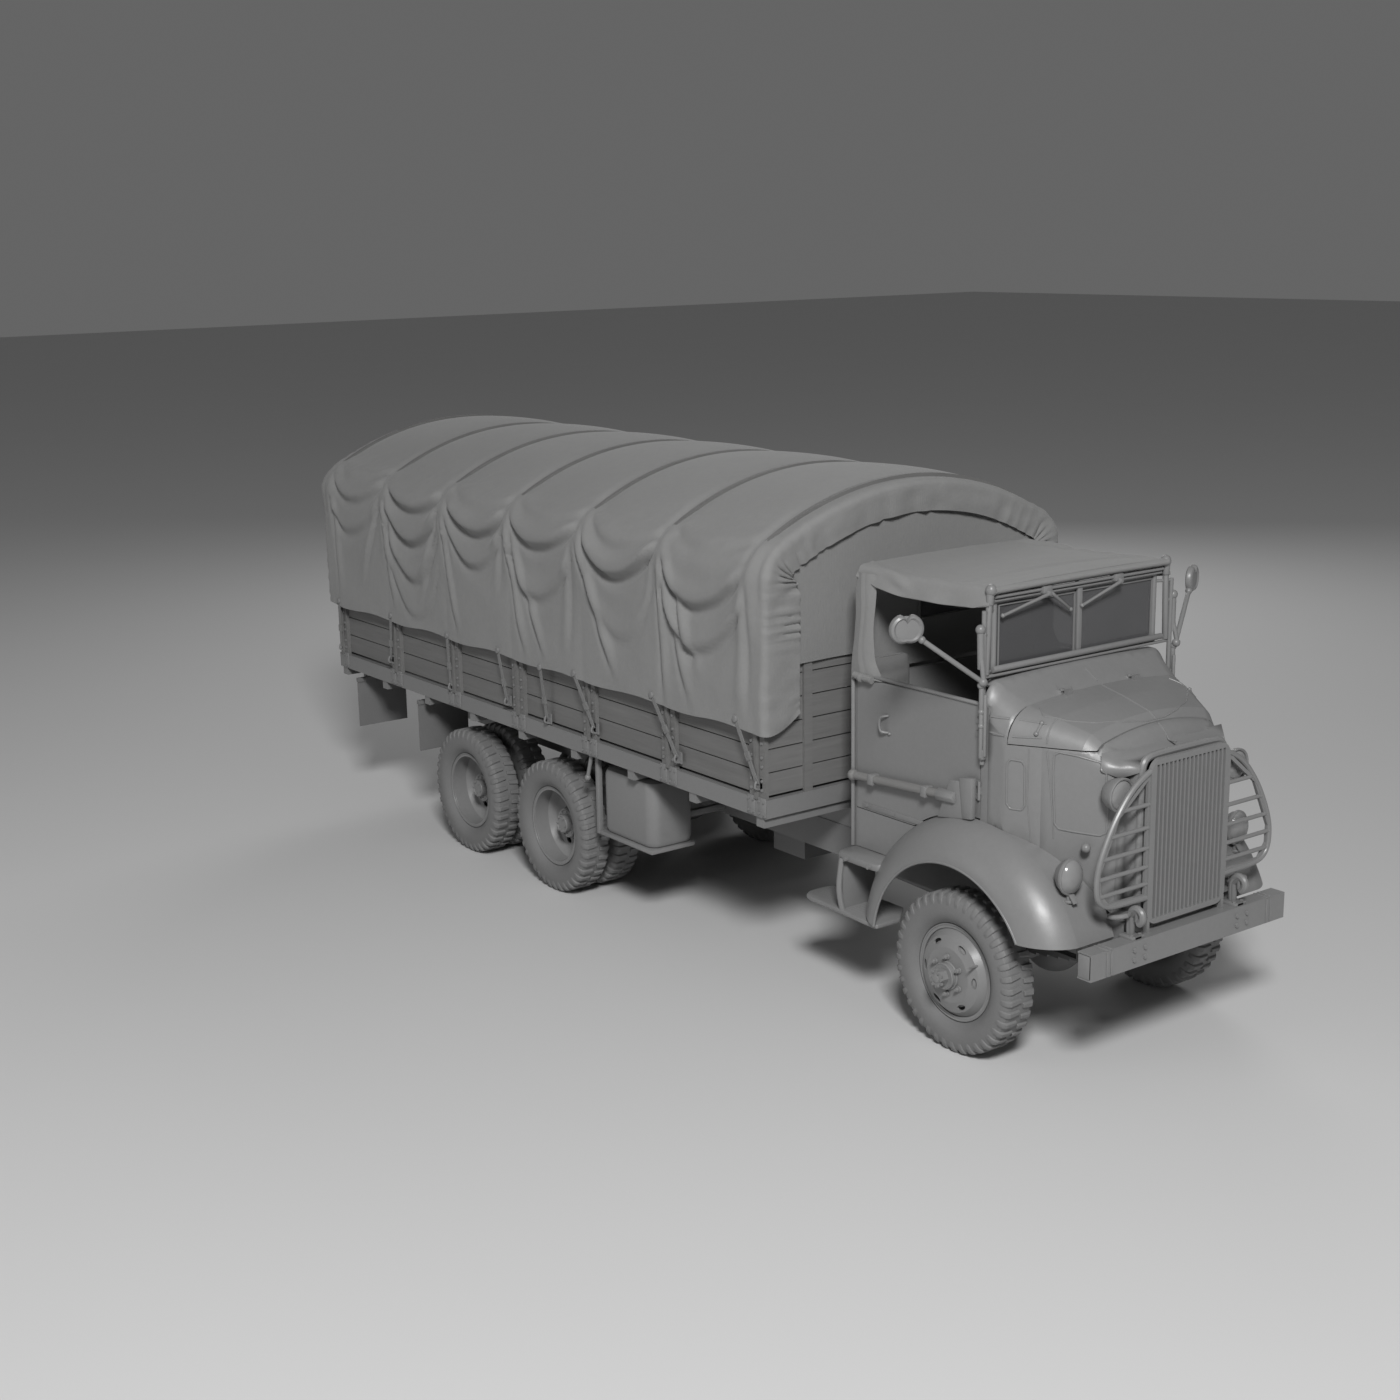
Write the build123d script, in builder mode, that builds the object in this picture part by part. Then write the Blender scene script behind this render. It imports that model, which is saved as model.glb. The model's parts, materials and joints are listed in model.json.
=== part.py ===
"""Cab-over six-wheel-drive cargo truck with a canvas-covered body.

Frame: +X forward, +Y left, +Z up, origin on the ground under the middle of the
truck's overall box. Millimetres.
"""
from build123d import *
from math import atan2, cos, radians, sin, sqrt
import os

os.makedirs("parts", exist_ok=True)

# Driving dimensions
overall_length = 7494.0
front_overhang = 894.0
wheelbase = 4166.0
bogie_spacing = 1113.0
tyre_radius = 445.0
front_track = 1520.0
rear_outer_track = 1970.0
twin_spacing = 254.0
rim_radius = 268.0
rim_half_width = 64.0
running_gap = 0.3
panel_gap = 6.0

axle_x = overall_length / 2 - front_overhang
rear_axle_xs = {
    "front": axle_x - wheelbase + bogie_spacing / 2,
    "rear": axle_x - wheelbase - bogie_spacing / 2,
}
bogie_x = axle_x - wheelbase
sides = {"left": 1, "right": -1}

# Chassis
rail_half_width = 430.0
rail_bottom = 665.0
rail_top = 860.0
rail_flange = 65.0
rail_wall = 10.0
rail_front_x = axle_x + front_overhang - 90.0
rail_rear_x = axle_x - 6380.0
crossmember_offsets = (700.0, -1150.0, -1850.0, -2550.0, -3250.0, -4166.0, -5050.0, -5700.0, -6376.0)
crossmember_depth = 120.0

# Bumper, tow hooks and brush guard
bumper_half_length = 756.0
bumper_bottom = 645.0
bumper_top = 788.0
bumper_depth = 90.0
bumper_wall = 10.0
guard_x = axle_x + 837.0
guard_half_width = 302.0
guard_bottom = 826.0
guard_top = 1700.0
guard_frame = 30.0
guard_bar = 12.0
guard_depth = 26.0
guard_bar_count = 18

# Cab and bonnet
cab_half_width = 700.0
cab_back_x = axle_x - 968.0
cab_front_x = axle_x + 97.0
floor_bottom = 1270.0
floor_top = 1295.0
cab_wall = 30.0
belt_rear = 1865.0
belt_front = 1895.0
door_hinge_x = axle_x + 44.0
hinge_radius = 8.0
door_hinge_y = cab_half_width + hinge_radius + 0.5
door_bottom = 1130.0
arch_x = axle_x + 20.0
arch_z = 485.0
arch_radius = 790.0
fender_half_width = 905.0
fender_sheet = 10.0
fender_foot = 775.0
cowl_front_x = axle_x + 380.0
nose_x = axle_x + 715.0
nose_bottom = rail_top
shell_x = nose_x + 85.0
shell_half_width = 335.0
shell_wall = 35.0
shell_top = 1725.0
brow_reach = 462.0
brow_bottom = 1632.0
dash_rear_x = cab_front_x - 100.0
dash_front_x = cab_front_x - 14.0
dash_half_width = 645.0
dash_wall = 10.0
dash_bottom = 1660.0
dash_top = 1830.0
sheet = 14.0
lid_rear_x = axle_x + 217.0
lid_front_x = axle_x + 615.0
lid_half_width = 720.0
lid_seam_z = 1720.0

# Windscreen and soft cab top
screen_x = axle_x + 34.0
screen_half_width = 613.0
screen_bottom = 2054.0
screen_top = 2478.0
post_radius = 13.0
post_x = screen_x + 35.0
post_y = cab_half_width + 16.0
cab_top_z = 2510.0
cab_top_half_width = 690.0
cab_top_wall = 6.0

# Cargo body
body_half_width = 1118.0
body_front_x = axle_x - 1237.0
body_rear_x = axle_x - 6539.0
sill_bottom = 1060.0
sill_top = 1168.0
floor_plank = 30.0
sill_wall = 8.0
rack_top = 2010.0
rack_outer = 1090.0
rack_thickness = 24.0
stake_depth = 28.0
bow_count = 7
bow_pitch = 860.0
bow_front_x = axle_x - 1312.0
bow_size = 30.0

# Canvas cover
cover_half_width = 1140.0
cover_wall = 8.0
cover_hem = 1545.0
cover_peak = 2925.0
cover_front_x = axle_x - 1195.0
cover_rear_x = axle_x - 6600.0
cover_crown_radius = 2050.0
cover_shoulder_radius = 240.0

# Steering
kingpin_y = 625.0
ball_radius = 70.0
rear_tube_radius = 62.0
arm_reach = 190.0
steering_wheel_radius = 225.0
steering_wheel_y = 415.0


def block(x, y, z, mode=Mode.ADD):
    """Box between two corners given as (low, high) pairs."""
    centre = ((x[0] + x[1]) / 2, (y[0] + y[1]) / 2, (z[0] + z[1]) / 2)
    with Locations(centre):
        Box(x[1] - x[0], y[1] - y[0], z[1] - z[0], mode=mode)


def rod(start, end, radius, mode=Mode.ADD):
    """Round bar between two points."""
    start, end = Vector(start), Vector(end)
    with BuildSketch(Plane(origin=start, z_dir=end - start)) as section:
        Circle(radius)
    extrude(section.sketch, amount=(end - start).length, mode=mode)


def side_plate(outline, y_from, y_to):
    """Plate from an outline of (x, z) points, between two y values."""
    with BuildSketch(Plane.XZ) as section:
        with BuildLine():
            Polyline(*outline, close=True)
        make_face()
    extrude(section.sketch.moved(Location((0, y_from, 0))), amount=y_from - y_to)


def turned(profile, centre):
    """Body of revolution about the Y axis through centre, from (y, r) points."""
    with BuildSketch(Plane.YZ) as section:
        with BuildLine():
            Polyline(*profile, close=True)
        make_face()
    revolve(section.sketch.moved(Location(centre)), axis=Axis(centre, (0, 1, 0)))


def keep(builder, label):
    """Name a finished piece and write it."""
    builder.part.label = label
    export_step(builder.part, f"parts/{label}.step")


# Chassis frame
bumper_face_x = axle_x + front_overhang
with BuildPart() as chassis_frame:
    for side in sides.values():
        web = sorted((side * rail_half_width, side * (rail_half_width - rail_wall)))
        flange = sorted((side * rail_half_width, side * (rail_half_width - rail_flange)))
        block((rail_rear_x, rail_front_x), web, (rail_bottom, rail_top))
        for low in (rail_bottom, rail_top - rail_wall):
            block((rail_rear_x, rail_front_x), flange, (low, low + rail_wall))
        block((rail_front_x - 60, bumper_face_x - bumper_wall),
              sorted((side * 375, side * rail_half_width)), (670, 768))
    for offset_x in crossmember_offsets:
        middle = axle_x + offset_x
        inner = rail_half_width - rail_wall
        depth_bottom = rail_top - rail_wall - crossmember_depth
        block((middle - 4, middle + 4), (-inner, inner), (depth_bottom, rail_top - rail_wall))
        block((middle - 30, middle + 30), (-inner, inner),
              (rail_top - 2 * rail_wall, rail_top - rail_wall))
keep(chassis_frame, "chassis_frame")

# Front bumper, a channel open to the rear
with BuildPart() as front_bumper:
    block((bumper_face_x - bumper_depth, bumper_face_x),
          (-bumper_half_length, bumper_half_length), (bumper_bottom, bumper_top))
    block((bumper_face_x - bumper_depth, bumper_face_x - bumper_wall),
          (-bumper_half_length, bumper_half_length),
          (bumper_bottom + bumper_wall, bumper_top - bumper_wall), mode=Mode.SUBTRACT)
keep(front_bumper, "front_bumper")

# Tow hooks standing on the bumper, and the drawbar eye at the rear
hook_ys = (400.0, -400.0)
eye_x = rail_rear_x - 100.0
eye_z = 770.0
eye_radius = 46.0
eye_bore = 20.0
eye_height = 60.0
with BuildPart() as tow_fittings:
    for y in hook_ys:
        block((bumper_face_x - 80, bumper_face_x - 10), (y - 22, y + 22), (bumper_top, bumper_top + 20))
        rod((bumper_face_x - 60, y, bumper_top + 10), (bumper_face_x - 60, y, bumper_top + 120), 18)
        rod((bumper_face_x - 60, y, bumper_top + 115), (bumper_face_x - 25, y, bumper_top + 150), 18)
        rod((bumper_face_x - 25, y, bumper_top + 150), (bumper_face_x - 25, y, bumper_top + 90), 14)
    block((rail_rear_x - 20, rail_rear_x), (-70, 70), (690, 830))
    rod((rail_rear_x - 20, 0, eye_z), (eye_x + 40, 0, eye_z), eye_radius / 2)
    rod((eye_x, 0, eye_z - eye_height / 2), (eye_x, 0, eye_z + eye_height / 2), eye_radius)
    rod((eye_x, 0, eye_z - eye_height), (eye_x, 0, eye_z + eye_height), eye_bore, mode=Mode.SUBTRACT)
keep(tow_fittings, "tow_fittings")

# Brush guard of flat bars: rounded frame, upright bars and side wings with rungs
wing_outline = (
    # reach from the frame, z
    (0.0, 1640.0), (240.0, 1450.0), (372.0, 1176.0), (368.0, 1070.0), (300.0, 985.0), (0.0, 975.0),
)
wing_bar = 20.0
rungs = (
    # z, reach from the frame
    (1348.0, 290.0), (1240.0, 340.0), (1140.0, 365.0), (1050.0, 355.0),
)
guard_stay_y = 290.0
guard_back = Plane.YZ.offset(guard_x - guard_depth / 2)
guard_middle_z = (guard_bottom + guard_top) / 2
guard_height = guard_top - guard_bottom
with BuildPart() as brush_guard:
    with BuildSketch(guard_back):
        with Locations((0, guard_middle_z)):
            RectangleRounded(2 * guard_half_width, guard_height, 70)
            Rectangle(2 * (guard_half_width - guard_frame), guard_height - 2 * guard_frame,
                      mode=Mode.SUBTRACT)
            bar_pitch = 2 * guard_half_width / (guard_bar_count + 1)
            with GridLocations(bar_pitch, 1, guard_bar_count, 1):
                Rectangle(guard_bar, guard_height - guard_frame)
    extrude(amount=guard_depth)
    for side in sides.values():
        outer = [(side * (guard_half_width - 5 + reach), z) for reach, z in wing_outline]
        with BuildSketch(guard_back):
            with BuildLine():
                Polyline(*outer, close=True)
            make_face()
            with BuildLine(mode=Mode.PRIVATE) as wing_edge:
                Polyline(*outer, close=True)
            add(offset(make_face(wing_edge.line, mode=Mode.PRIVATE), -wing_bar, mode=Mode.PRIVATE),
                mode=Mode.SUBTRACT)
            for z, reach in rungs:
                with Locations((side * (guard_half_width + reach / 2 - 10), z)):
                    Rectangle(reach - 10, guard_bar)
        extrude(amount=guard_depth - 8)
        stay = sorted((side * (guard_stay_y - 10), side * (guard_stay_y + 10)))
        block((guard_x - guard_depth / 2, guard_x + guard_depth / 2), stay,
              (bumper_top, guard_bottom + 40))
        for low in (1000, 1400):
            block((nose_x, guard_x), stay, (low, low + 30))
keep(brush_guard, "brush_guard")

# Radiator core behind the nose opening
with BuildPart() as radiator:
    block((nose_x - 110, nose_x - 30), (-280, 280), (880, 1560))
    for side in sides.values():
        foot = sorted((side * 270, side * 390))
        block((nose_x - 90, nose_x - 50), foot, (rail_top, rail_top + 40))
keep(radiator, "radiator")

# Engine, gearbox and transfer case at their real places
support_half = rail_half_width - rail_wall
with BuildPart() as engine_and_gearbox:
    block((axle_x - 480, axle_x + 560), (-240, 240), (700, 1480))
    block((axle_x + 300, axle_x + 380), (-support_half, support_half), (740, 790))
    block((axle_x - 980, axle_x - 480), (-150, 150), (600, 880))
    block((axle_x - 900, axle_x - 820), (-support_half, support_half), (740, 790))
keep(engine_and_gearbox, "engine_and_gearbox")

case_rear_x = axle_x - 2330
case_front_x = axle_x - 2020
with BuildPart() as transfer_case:
    block((case_rear_x, case_front_x), (-190, 170), (430, 790))
    block((axle_x - 2220, axle_x - 2130), (-support_half, support_half), (740, 780))
keep(transfer_case, "transfer_case")

# Propeller shafts with a universal joint at each end
front_diff_y = -60.0
axle_z = tyre_radius
joint_radius = 36.0
carrier_z = 600.0


def propeller_shaft(start, end, radius):
    """Tube between two faces, joined to them by a round universal joint."""
    touch = joint_radius + running_gap
    first = (start[0] - touch, start[1], start[2])
    last = (end[0] + touch, end[1], end[2])
    rod(first, last, radius)
    with Locations(first, last):
        Sphere(joint_radius)


with BuildPart() as propeller_shafts:
    propeller_shaft((axle_x - 980, 0, 690), (case_front_x, 0, 660), 30)
    propeller_shaft((axle_x - 190, front_diff_y, axle_z + 10), (case_front_x, front_diff_y, 520), 26)
    propeller_shaft((case_rear_x, 60, 560), (rear_axle_xs["front"] + 190, 60, axle_z + 60), 30)
    propeller_shaft((case_rear_x, -120, 620), (bogie_x + 80, -120, carrier_z), 30)
    propeller_shaft((bogie_x - 80, -120, carrier_z), (rear_axle_xs["rear"] + 190, -120, axle_z + 60), 30)
    block((bogie_x - 80, bogie_x + 80), (-170, -70), (carrier_z - 45, 720))
    block((bogie_x - 20, bogie_x + 20), (-170, -70), (719, 730))
keep(propeller_shafts, "propeller_shafts")

# Axle housings: tube, differential bowl and pinion nose
housings = (
    # node, ((x, differential y, half length, tube radius, pinion reach, pinion rise), ...)
    ("front_axle_housing", ((axle_x, front_diff_y, kingpin_y, 52, -190, 10),)),
    ("rear_axle_housings", (
        (rear_axle_xs["front"], 60, 850, rear_tube_radius, 190, 60),
        (rear_axle_xs["rear"], -120, 850, rear_tube_radius, 190, 60),
    )),
)
for label, rows in housings:
    with BuildPart() as housing:
        for x, diff_y, half_length, radius, reach, rise in rows:
            rod((x, -half_length, axle_z), (x, half_length, axle_z), radius)
            with Locations((x, diff_y, axle_z)):
                Sphere(170)
            rod((x, diff_y, axle_z + rise), (x + reach, diff_y, axle_z + rise), 60)
            if label == "front_axle_housing":
                with Locations((x, half_length, axle_z), (x, -half_length, axle_z)):
                    Sphere(ball_radius)
    keep(housing, label)

# Leaf springs
front_spring_y = 390.0
rear_spring_y = 500.0
with BuildPart() as front_springs:
    for side in sides.values():
        for leaf in range(5):
            half = 520 - 80 * leaf
            y = sorted((side * (front_spring_y - 28), side * (front_spring_y + 28)))
            block((axle_x - half, axle_x + half), y,
                  (axle_z + 122 - 12 * (leaf + 1), axle_z + 122 - 12 * leaf))
        block((axle_x - 70, axle_x + 70), y, (axle_z + 52, axle_z + 64))
        for end in (-1, 1):
            x = axle_x + end * 505
            block((x - 20, x + 20), y, (axle_z + 118, rail_bottom))
keep(front_springs, "front_springs")

with BuildPart() as bogie_springs:
    rod((bogie_x, -rear_spring_y - 40, axle_z + 60), (bogie_x, rear_spring_y + 40, axle_z + 60), 45)
    for side in sides.values():
        y = sorted((side * (rear_spring_y - 38), side * (rear_spring_y + 38)))
        for leaf in range(7):
            half = 560 - 70 * leaf
            block((bogie_x - half, bogie_x + half), y,
                  (axle_z + 62 + running_gap + 14 * leaf, axle_z + 76 + running_gap + 14 * leaf))
        bracket = sorted((side * rail_half_width, side * (rear_spring_y - 38)))
        block((bogie_x - 60, bogie_x + 60), bracket, (axle_z + 20, rail_top - 20))
keep(bogie_springs, "bogie_springs")

# Steering knuckles, arms and tie rod
arm_z = axle_z - 130
for side_name, side in sides.items():
    with BuildPart() as knuckle:
        cheek = ball_radius + running_gap
        rod((axle_x, side * (kingpin_y + cheek), axle_z),
            (axle_x, side * (front_track / 2 - 30), axle_z), 96)
        for low in (axle_z - cheek - 40, axle_z + cheek):
            block((axle_x - 40, axle_x + 40),
                  sorted((side * (kingpin_y - 30), side * (kingpin_y + cheek + 20))), (low, low + 40))
        block((axle_x - 40, axle_x + 40),
              sorted((side * (kingpin_y + cheek), side * (kingpin_y + cheek + 20))),
              (axle_z - cheek - 40, axle_z + cheek + 40))
        block((axle_x - arm_reach - 25, axle_x - 30),
              sorted((side * (kingpin_y - 25), side * (kingpin_y + 25))), (arm_z, arm_z + 24))
        rod((axle_x, side * (front_track / 2 - 42), axle_z),
            (axle_x, side * (front_track / 2 + 71 - running_gap), axle_z), 40)
    keep(knuckle, f"knuckle_{side_name}")

tie_rod_z = arm_z + 24 + running_gap
with BuildPart() as tie_rod:
    rod((axle_x - arm_reach, -kingpin_y, tie_rod_z + 18),
        (axle_x - arm_reach, kingpin_y, tie_rod_z + 18), 15)
    for side in sides.values():
        rod((axle_x - arm_reach, side * kingpin_y, tie_rod_z),
            (axle_x - arm_reach, side * kingpin_y, tie_rod_z + 36), 24)
keep(tie_rod, "tie_rod")

# Wheels
# A tyre is a ring of flat facets with a lug on each, so that it has few faces
lug_count = 18
tread_half_width = 88.0
tread_radius = 428.0
lug_tip_turn = 5.5
lug_root_turn = 6.5
carcass_rings = (
    # y from the tyre's middle, distance to its facets
    (-104.0, 380.0), (-tread_half_width, 424.0), (tread_half_width, 424.0), (104.0, 380.0),
)
bead_seat = 255.6 + running_gap
bore_rings = (
    # y out from the tyre's middle, distance to its facets
    (57.5, 270.0), (104.0, 335.0),
)


def wheel_plane(centre, y):
    """Plane across a wheel's axle, y from its centre."""
    return Plane(origin=(centre[0], centre[1] + y, centre[2]), x_dir=(1, 0, 0), z_dir=(0, 1, 0))


def facet_ring(centre, y, reach):
    """Section of a tyre: a polygon whose corners lie under the lugs."""
    with BuildSketch(wheel_plane(centre, y), mode=Mode.PRIVATE) as ring:
        RegularPolygon(reach, lug_count, major_radius=False, rotation=180 / lug_count)
    return ring.sketch


def lug_outline():
    """Outline of the tread around its lugs, one of them on the ground."""
    tip_corner = tyre_radius / cos(radians(lug_tip_turn))
    corners = (
        # turn from the lug's middle, radius
        (-lug_root_turn, tread_radius), (-lug_tip_turn, tip_corner),
        (lug_tip_turn, tip_corner), (lug_root_turn, tread_radius),
    )
    turns = [(360 * index / lug_count + 90 + turn, reach) for index in range(lug_count) for turn,
             reach in corners]
    return [(reach * cos(radians(turn)), reach * sin(radians(turn))) for turn, reach in turns]


def lugged_tyre(centre):
    """Tyre about the Y axis: carcass, tread with lugs, and bore."""
    loft([facet_ring(centre, y, reach) for y, reach in carcass_rings], ruled=True)
    with BuildSketch(wheel_plane(centre, -tread_half_width), mode=Mode.PRIVATE) as tread:
        with BuildLine():
            Polyline(*lug_outline(), close=True)
        make_face()
    extrude(tread.sketch, amount=2 * tread_half_width)
    half = carcass_rings[-1][0]
    extrude(facet_ring(centre, -half, bead_seat), amount=2 * half, mode=Mode.SUBTRACT)
    for side in sides.values():
        loft([facet_ring(centre, side * y, reach) for y, reach in bore_rings], ruled=True, mode=Mode.SUBTRACT)


rim_band = (
    (-rim_half_width, 244), (-rim_half_width, rim_radius), (-rim_half_width + 5, rim_radius),
    (-rim_half_width + 5, 255.6), (rim_half_width - 5, 255.6), (rim_half_width - 5, rim_radius),
    (rim_half_width, rim_radius), (rim_half_width, 244),
)


def disc_profile(dish, thickness):
    """Dished disc of a wheel from the rim to the hub, as (y, r) points."""
    return (
        (dish * 0.35, 248), (dish * 0.8, 205), (dish, 150), (dish, 56),
        (dish + thickness, 56), (dish + thickness, 152), (dish * 0.8 + thickness, 211),
        (dish * 0.35 + thickness, 250),
    )


hand_hole_count = 6
for side_name, side in sides.items():
    centre = (axle_x, side * front_track / 2, axle_z)
    with BuildPart() as tyre:
        lugged_tyre(centre)
    keep(tyre, f"front_tyre_{side_name}")
    with BuildPart() as rim:
        turned(rim_band, centre)
        turned(disc_profile(side * 105, side * 10), centre)
        with BuildSketch(Plane(origin=centre, x_dir=(1, 0, 0), z_dir=(0, side, 0))) as holes:
            with PolarLocations(185, hand_hole_count):
                Ellipse(15, 32)
        extrude(holes.sketch, amount=200, mode=Mode.SUBTRACT)
        rod((axle_x, side * (front_track / 2 + 71), axle_z),
            (axle_x, side * (front_track / 2 + 150), axle_z), 72)
        with BuildSketch(wheel_plane(centre, side * 149), mode=Mode.PRIVATE) as hub_cap:
            RegularPolygon(46, 6)
        extrude(hub_cap.sketch, amount=side * 51)
    keep(rim, f"front_wheel_disc_{side_name}")

for row, row_x in rear_axle_xs.items():
    for side_name, side in sides.items():
        outer_y = side * rear_outer_track / 2
        inner_y = outer_y - side * twin_spacing
        middle_y = (outer_y + inner_y) / 2
        with BuildPart() as tyre_pair:
            for y in (outer_y, inner_y):
                lugged_tyre((row_x, y, axle_z))
        keep(tyre_pair, f"twin_tyres_{row}_{side_name}")
        with BuildPart() as disc_pair:
            dish = twin_spacing / 2
            turned(rim_band, (row_x, outer_y, axle_z))
            turned(rim_band, (row_x, inner_y, axle_z))
            turned(disc_profile(-side * dish, side * 10), (row_x, outer_y, axle_z))
            turned(disc_profile(side * dish, -side * 10), (row_x, inner_y, axle_z))
            with BuildSketch(Plane(origin=(row_x, middle_y - side * 60, axle_z), x_dir=(1, 0, 0),
                                   z_dir=(0, side, 0))) as holes:
                with PolarLocations(178, hand_hole_count):
                    Ellipse(13, 28)
            extrude(holes.sketch, amount=120, mode=Mode.SUBTRACT)
            rod((row_x, middle_y - side * 80, axle_z), (row_x, middle_y + side * 90, axle_z), 100)
            rod((row_x, middle_y + side * 89, axle_z), (row_x, middle_y + side * 130, axle_z), 62)
            rod((row_x, middle_y - side * 200, axle_z), (row_x, middle_y, axle_z),
                rear_tube_radius + running_gap, mode=Mode.SUBTRACT)
        keep(disc_pair, f"twin_wheel_discs_{row}_{side_name}")

# Fenders: a crowned strip turned about the wheel arch's centre
fender_profile = (
    (fender_half_width, 584.0), (fender_half_width - 22, 652.0), (fender_half_width - 60, 705.0),
    (fender_half_width - 120, 752.0), (fender_half_width - 200, 783.0), (cab_half_width, arch_radius),
)
with BuildPart() as fenders:
    hub = (arch_x, 0, arch_z)
    turn = Axis(hub, (0, -1, 0))
    for side in sides.values():
        crown = [(side * y, r) for y, r in fender_profile]
        crown_inner = [(side * (y - fender_sheet * 0.8), r - fender_sheet * 0.6) for y,
                       r in fender_profile]
        apron = [(side * cab_half_width, arch_radius), (side * 440, arch_radius),
                 (side * 440, arch_radius - fender_sheet), (side * cab_half_width,
                                                            arch_radius - fender_sheet)]
        for outline, sweep_angle in ((crown + crown_inner[::-1], 152), (apron, 63)):
            with BuildSketch(Plane.YZ) as section:
                with BuildLine():
                    Polyline(*outline, close=True)
                make_face()
            standing = section.sketch.moved(Location(hub)).rotate(turn, 20 - 90)
            revolve(standing, axis=turn, revolution_arc=sweep_angle)
    block((arch_x, arch_x + 900), (-1000, 1000), (0, fender_foot), mode=Mode.SUBTRACT)
keep(fenders, "fenders")

# Cab floor, lower sides, back, fire wall and mounts on the frame
tunnel_half_width = 306.0
tunnel_top = 1536.0
hinge_zs = (1420.0, 1760.0)
hinge_height = 40.0
with BuildPart() as cab_shell:
    inner_y = cab_half_width - cab_wall
    block((cab_back_x, cab_front_x), (-inner_y, inner_y), (floor_bottom, floor_top))
    block((cab_back_x, cab_back_x + cab_wall), (-cab_half_width, cab_half_width), (900, belt_rear))
    block((cab_front_x - 14, cab_front_x), (-inner_y, inner_y), (floor_bottom, belt_front))
    for side in sides.values():
        wall = sorted((side * inner_y, side * cab_half_width))
        block((cab_back_x, cab_front_x - 30), wall, (900, door_bottom - panel_gap))
        block((cab_front_x - 50, cab_front_x), wall, (1200, belt_front))
        sill = sorted((side * (inner_y - 30), side * inner_y))
        block((cab_back_x + cab_wall, cab_front_x), sill, (door_bottom - 60, floor_bottom))
        mount = sorted((side * 370, side * rail_half_width))
        block((cab_back_x, cab_back_x + 60), mount, (rail_top, 900))
        block((axle_x - 20, axle_x + 40), mount, (rail_top, floor_bottom + 1))
        for z in hinge_zs:
            barrel = (door_hinge_x, side * door_hinge_y)
            rod((*barrel, z), (*barrel, z + hinge_height), hinge_radius)
            block((door_hinge_x, door_hinge_x + 10),
                  sorted((side * (inner_y + 10), side * door_hinge_y)), (z, z + hinge_height))
    with Locations(Location((arch_x, 0, arch_z), (90, 0, 0))):
        Cylinder(arch_radius + 0.5, 3 * cab_half_width, mode=Mode.SUBTRACT)
    for side in sides.values():
        mount = sorted((side * 370, side * rail_half_width))
        block((axle_x - 20, axle_x + 40), mount, (rail_top, floor_bottom + 10))
    block((axle_x - 560, cab_front_x + 10), (-tunnel_half_width, tunnel_half_width),
          (floor_bottom - 10, tunnel_top), mode=Mode.SUBTRACT)
keep(cab_shell, "cab_shell")

# Engine cover between the seats
with BuildPart() as engine_cover:
    block((axle_x - 584, cab_front_x - 14), (-tunnel_half_width - 24, tunnel_half_width + 24),
          (floor_top, tunnel_top + 24))
    block((axle_x - 560, cab_front_x), (-tunnel_half_width, tunnel_half_width),
          (floor_top - 10, tunnel_top), mode=Mode.SUBTRACT)
keep(engine_cover, "engine_cover")

# Seats
seat_bounds = [sorted((side * 345, side * 655)) for side in sides.values()]
with BuildPart() as dashboard:
    block((dash_rear_x, dash_front_x), (-dash_half_width, dash_half_width), (dash_bottom, dash_top))
    block((dash_rear_x + dash_wall, dash_front_x - dash_wall),
          (-dash_half_width + dash_wall, dash_half_width - dash_wall),
          (dash_bottom - 1, dash_top - dash_wall), mode=Mode.SUBTRACT)
keep(dashboard, "dashboard")

with BuildPart() as seat_boxes:
    for low, high in seat_bounds:
        block((axle_x - 880, axle_x - 440), (low, high), (floor_top, 1520))
        block((axle_x - 860, axle_x - 460), (low + 20, high - 20), (floor_top, 1500), mode=Mode.SUBTRACT)
keep(seat_boxes, "seat_boxes")
with BuildPart() as seat_cushions:
    for low, high in seat_bounds:
        block((axle_x - 850, axle_x - 430), (low + 4, high - 4), (1520 + running_gap, 1630))
        block((cab_back_x + cab_wall + running_gap, axle_x - 852), (low + 4, high - 4), (1560, 2000))
keep(seat_cushions, "seat_cushions")

# Steps and their stays
with BuildPart() as fender_space:
    for side in sides.values():
        outline = [(side * y, r + 1) for y, r in fender_profile] + [(side * 500, arch_radius + 1),
                                                                    (side * 500,
                                                                     0), (side * fender_half_width, 0)]
        turned(outline, (arch_x, 0, arch_z))
    block((arch_x - 1000, arch_x + 1000), (-1000, 1000), (-1000, 566), mode=Mode.SUBTRACT)
with BuildPart() as cab_steps:
    for side in sides.values():
        block((axle_x - 915, axle_x - 575), sorted((side * cab_half_width, side * 850)), (850, 895))
        block((axle_x - 1250, axle_x - 690), sorted((side * 560, side * 855)), (535, 562))
        block((axle_x - 905, axle_x - 870), sorted((side * 600, side * 840)), (561, 851))
        block((axle_x - 915, axle_x - 860), sorted((side * rail_half_width, side * 701)), (835, 860))
        block((axle_x - 915, axle_x - 860), sorted((side * 690, side * 720)), (835, 870))
        block((axle_x - 691, axle_x - 566), sorted((side * 700, side * 880)), (535, 562))
    add(fender_space.part, mode=Mode.SUBTRACT)
keep(cab_steps, "cab_steps")

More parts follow.
